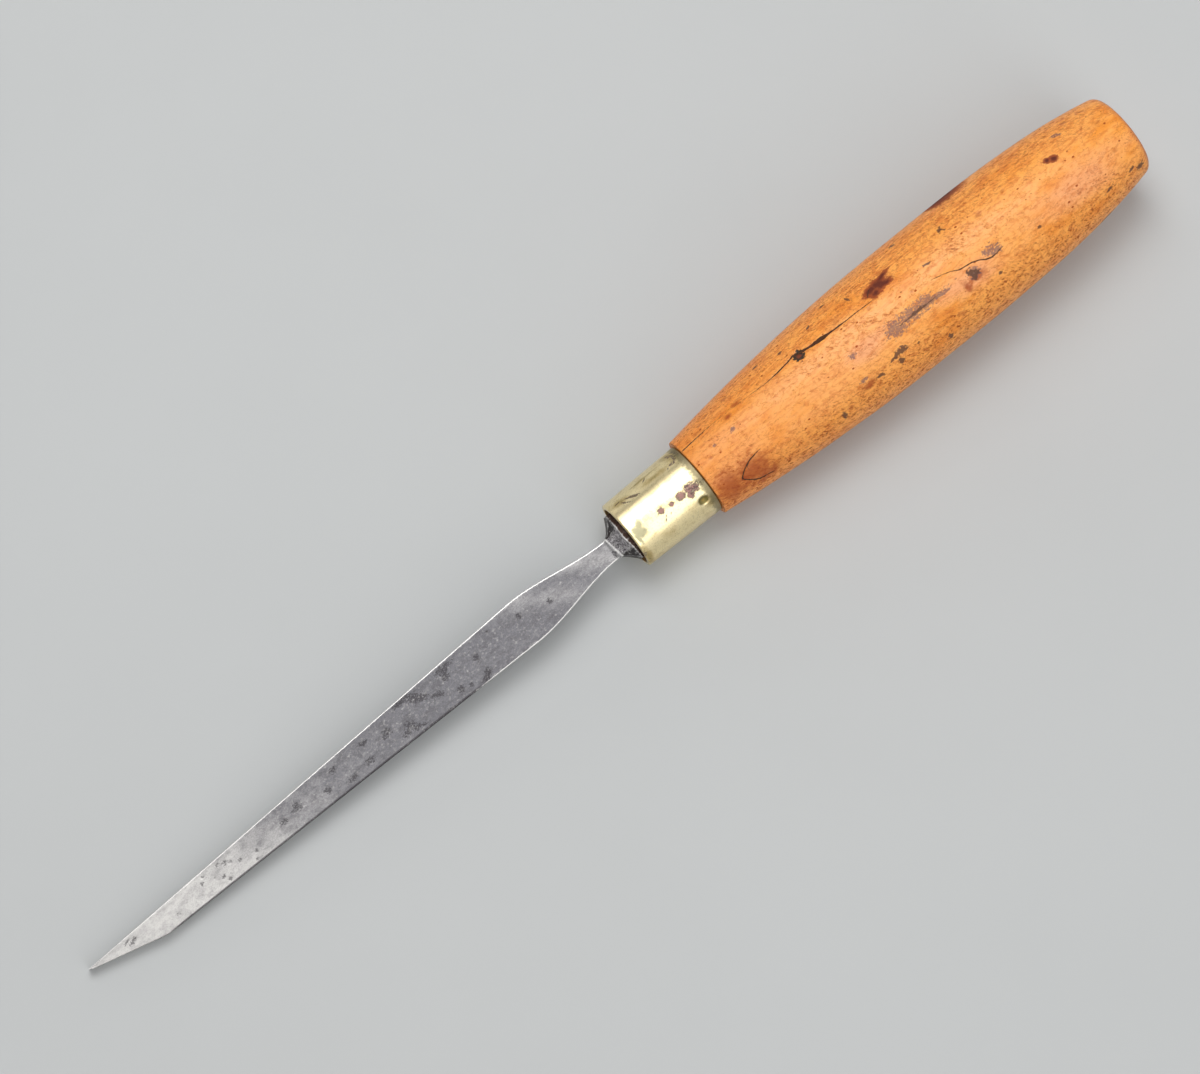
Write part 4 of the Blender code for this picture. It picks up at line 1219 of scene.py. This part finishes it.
def camera_axes():
    """Right, up and back of the photograph's camera, before it is turned to the middle of its frame."""
    turn, rise = math.radians(CAMERA_AZIMUTH), math.radians(CAMERA_ELEVATION)
    right = Vector((math.cos(turn), math.sin(turn), 0.0))
    back = Vector((math.sin(turn) * math.cos(rise), -math.cos(turn) * math.cos(rise), math.sin(rise)))
    return right, back.cross(right), back


def place_camera(mouth):
    """Long lens over the bench, aimed a little beside the ferrule's mouth as the photograph's frame is."""
    right, up, back = camera_axes()
    eye = mouth + back * CAMERA_DISTANCE
    aim = mouth + right * AIM_RIGHT * MM + up * AIM_UP * MM
    back = (eye - aim).normalized()
    right = (right - back * right.dot(back)).normalized()
    data = bpy.data.cameras.new("camera")
    data.lens, data.sensor_width = CAMERA_LENS, CAMERA_SENSOR
    camera = bpy.data.objects.new("camera", data)
    bpy.context.scene.collection.objects.link(camera)
    axes = Matrix((right, back.cross(right), back)).transposed()
    camera.matrix_world = Matrix.Translation(eye) @ axes.to_4x4()
    bpy.context.scene.camera = camera


def place_lamp(name, radiance, width, depth, turn, lean, distance):
    """Softbox that faces the tool: it leans from overhead by an angle, towards a turn from plus X."""
    data = bpy.data.lights.new(name, "AREA")
    data.shape = "RECTANGLE"
    data.size, data.size_y = width, depth
    data.energy = radiance * math.pi * width * depth
    lamp = bpy.data.objects.new(name, data)
    bpy.context.scene.collection.objects.link(lamp)
    towards, tilt = math.radians(turn), math.radians(lean)
    away = Vector((math.cos(towards) * math.sin(tilt), math.sin(towards) * math.sin(tilt), math.cos(tilt)))
    facing = away.to_track_quat("Z", "Y").to_matrix()
    lamp.matrix_world = Matrix.Translation(away * distance) @ facing.to_4x4()


def place_tent(walls, ceiling):
    """Light tent: pale walls all round, and a darker ceiling above them where only the lamps are bright."""
    world = bpy.data.worlds.new("light_tent")
    world.use_nodes = True
    tree = world.node_tree
    look = add(tree, "ShaderNodeTexCoord").outputs["Generated"]
    height = add(tree, "ShaderNodeSeparateXYZ", {"Vector": look}).outputs["Z"]
    glow = add(tree, "ShaderNodeMapRange", {"Value": height, "From Min": WALL_TOP, "To Min": walls,
                                            "From Max": CEILING_EDGE, "To Max": ceiling},
               interpolation_type="SMOOTHSTEP")
    tree.nodes["Background"].inputs["Color"].default_value = (1.0, 1.0, 1.0, 1.0)
    tree.links.new(glow.outputs["Result"], tree.nodes["Background"].inputs["Strength"])
    bpy.context.scene.world = world


def place_floor(colours):
    """Wide painted board under the tool, with its own points' places in mm for its material."""
    half = FLOOR_SIZE / 2
    corners = [(-half, -half, 0.0), (half, -half, 0.0), (half, half, 0.0), (-half, half, 0.0)]
    mesh = bpy.data.meshes.new("floor")
    mesh.from_pydata(corners, [], [(0, 1, 2, 3)])
    mesh.materials.append(painted_board(colours))
    own_place = mesh.attributes.new("tool_place", "FLOAT_VECTOR", "POINT")
    own_place.data.foreach_set("vector", [share / MM for vertex in mesh.vertices for share in vertex.co])
    floor = bpy.data.objects.new("floor", mesh)
    bpy.context.scene.collection.objects.link(floor)


class CHISEL_OT_make_blade(bpy.types.Operator):
    """Build the forged blade, its bolster and its tang"""

    bl_idname = "chisel.make_blade"
    bl_label = "Make Blade"

    def execute(self, context):
        make_blade_piece(context.scene.chisel_blade, butt_place(in_mm(context.scene.chisel_handle)))
        return {"FINISHED"}


class CHISEL_OT_make_ferrule(bpy.types.Operator):
    """Build the brass ferrule"""

    bl_idname = "chisel.make_ferrule"
    bl_label = "Make Ferrule"

    def execute(self, context):
        make_ferrule_piece(context.scene.chisel_ferrule, butt_place(in_mm(context.scene.chisel_handle)))
        return {"FINISHED"}


class CHISEL_OT_make_handle(bpy.types.Operator):
    """Build the boxwood handle"""

    bl_idname = "chisel.make_handle"
    bl_label = "Make Handle"

    def execute(self, context):
        make_handle_piece(context.scene.chisel_handle)
        return {"FINISHED"}


class CHISEL_OT_make_stage(bpy.types.Operator):
    """Lay the floor and set up the lamps and the camera"""

    bl_idname = "chisel.make_stage"
    bl_label = "Make Stage"

    def execute(self, context):
        stage = context.scene.chisel_stage
        place_floor(stage)
        place_tent(stage.wall_radiance, stage.ceiling_radiance)
        place_lamp("softbox", stage.softbox_radiance, *SOFTBOX)
        place_lamp("key_lamp", stage.key_radiance, *KEY_LAMP)
        place_camera(tool_frame(butt_place(in_mm(context.scene.chisel_handle))).translation)
        context.scene.view_settings.view_transform = "Standard"
        return {"FINISHED"}


class CHISEL_PT_sidebar(bpy.types.Panel):
    """Settings and makers of the chisel's pieces"""

    bl_idname = "CHISEL_PT_sidebar"
    bl_label = "Flat Carving Chisel"
    bl_space_type = "VIEW_3D"
    bl_region_type = "UI"
    bl_category = "Chisel"

    def draw(self, context):
        for group, maker in PANEL_ROWS:
            box = self.layout.box()
            settings = getattr(context.scene, group)
            for prop in settings.bl_rna.properties:
                if prop.identifier not in ("rna_type", "name"):
                    box.prop(settings, prop.identifier)
            box.operator(maker)


PANEL_ROWS = (("chisel_blade", "chisel.make_blade"), ("chisel_ferrule", "chisel.make_ferrule"),
              ("chisel_handle", "chisel.make_handle"), ("chisel_stage", "chisel.make_stage"))
GROUPS = {"chisel_blade": ChiselBladeSettings, "chisel_ferrule": ChiselFerruleSettings,
          "chisel_handle": ChiselHandleSettings, "chisel_stage": ChiselStageSettings}
CLASSES = (*GROUPS.values(), CHISEL_OT_make_blade, CHISEL_OT_make_ferrule, CHISEL_OT_make_handle,
           CHISEL_OT_make_stage, CHISEL_PT_sidebar)


def register():
    """Register the classes, and hang each group of settings on the scene."""
    for item in CLASSES:
        bpy.utils.register_class(item)
    for name, group in GROUPS.items():
        setattr(bpy.types.Scene, name, PointerProperty(type=group))


def unregister():
    """Take the settings off the scene again, and unregister the classes."""
    for name in GROUPS:
        delattr(bpy.types.Scene, name)
    for item in reversed(CLASSES):
        bpy.utils.unregister_class(item)


def main():
    """Build every piece and the stage."""
    register()
    bpy.ops.chisel.make_stage()
    bpy.ops.chisel.make_handle()
    bpy.ops.chisel.make_ferrule()
    bpy.ops.chisel.make_blade()


if __name__ == "__main__":
    main()
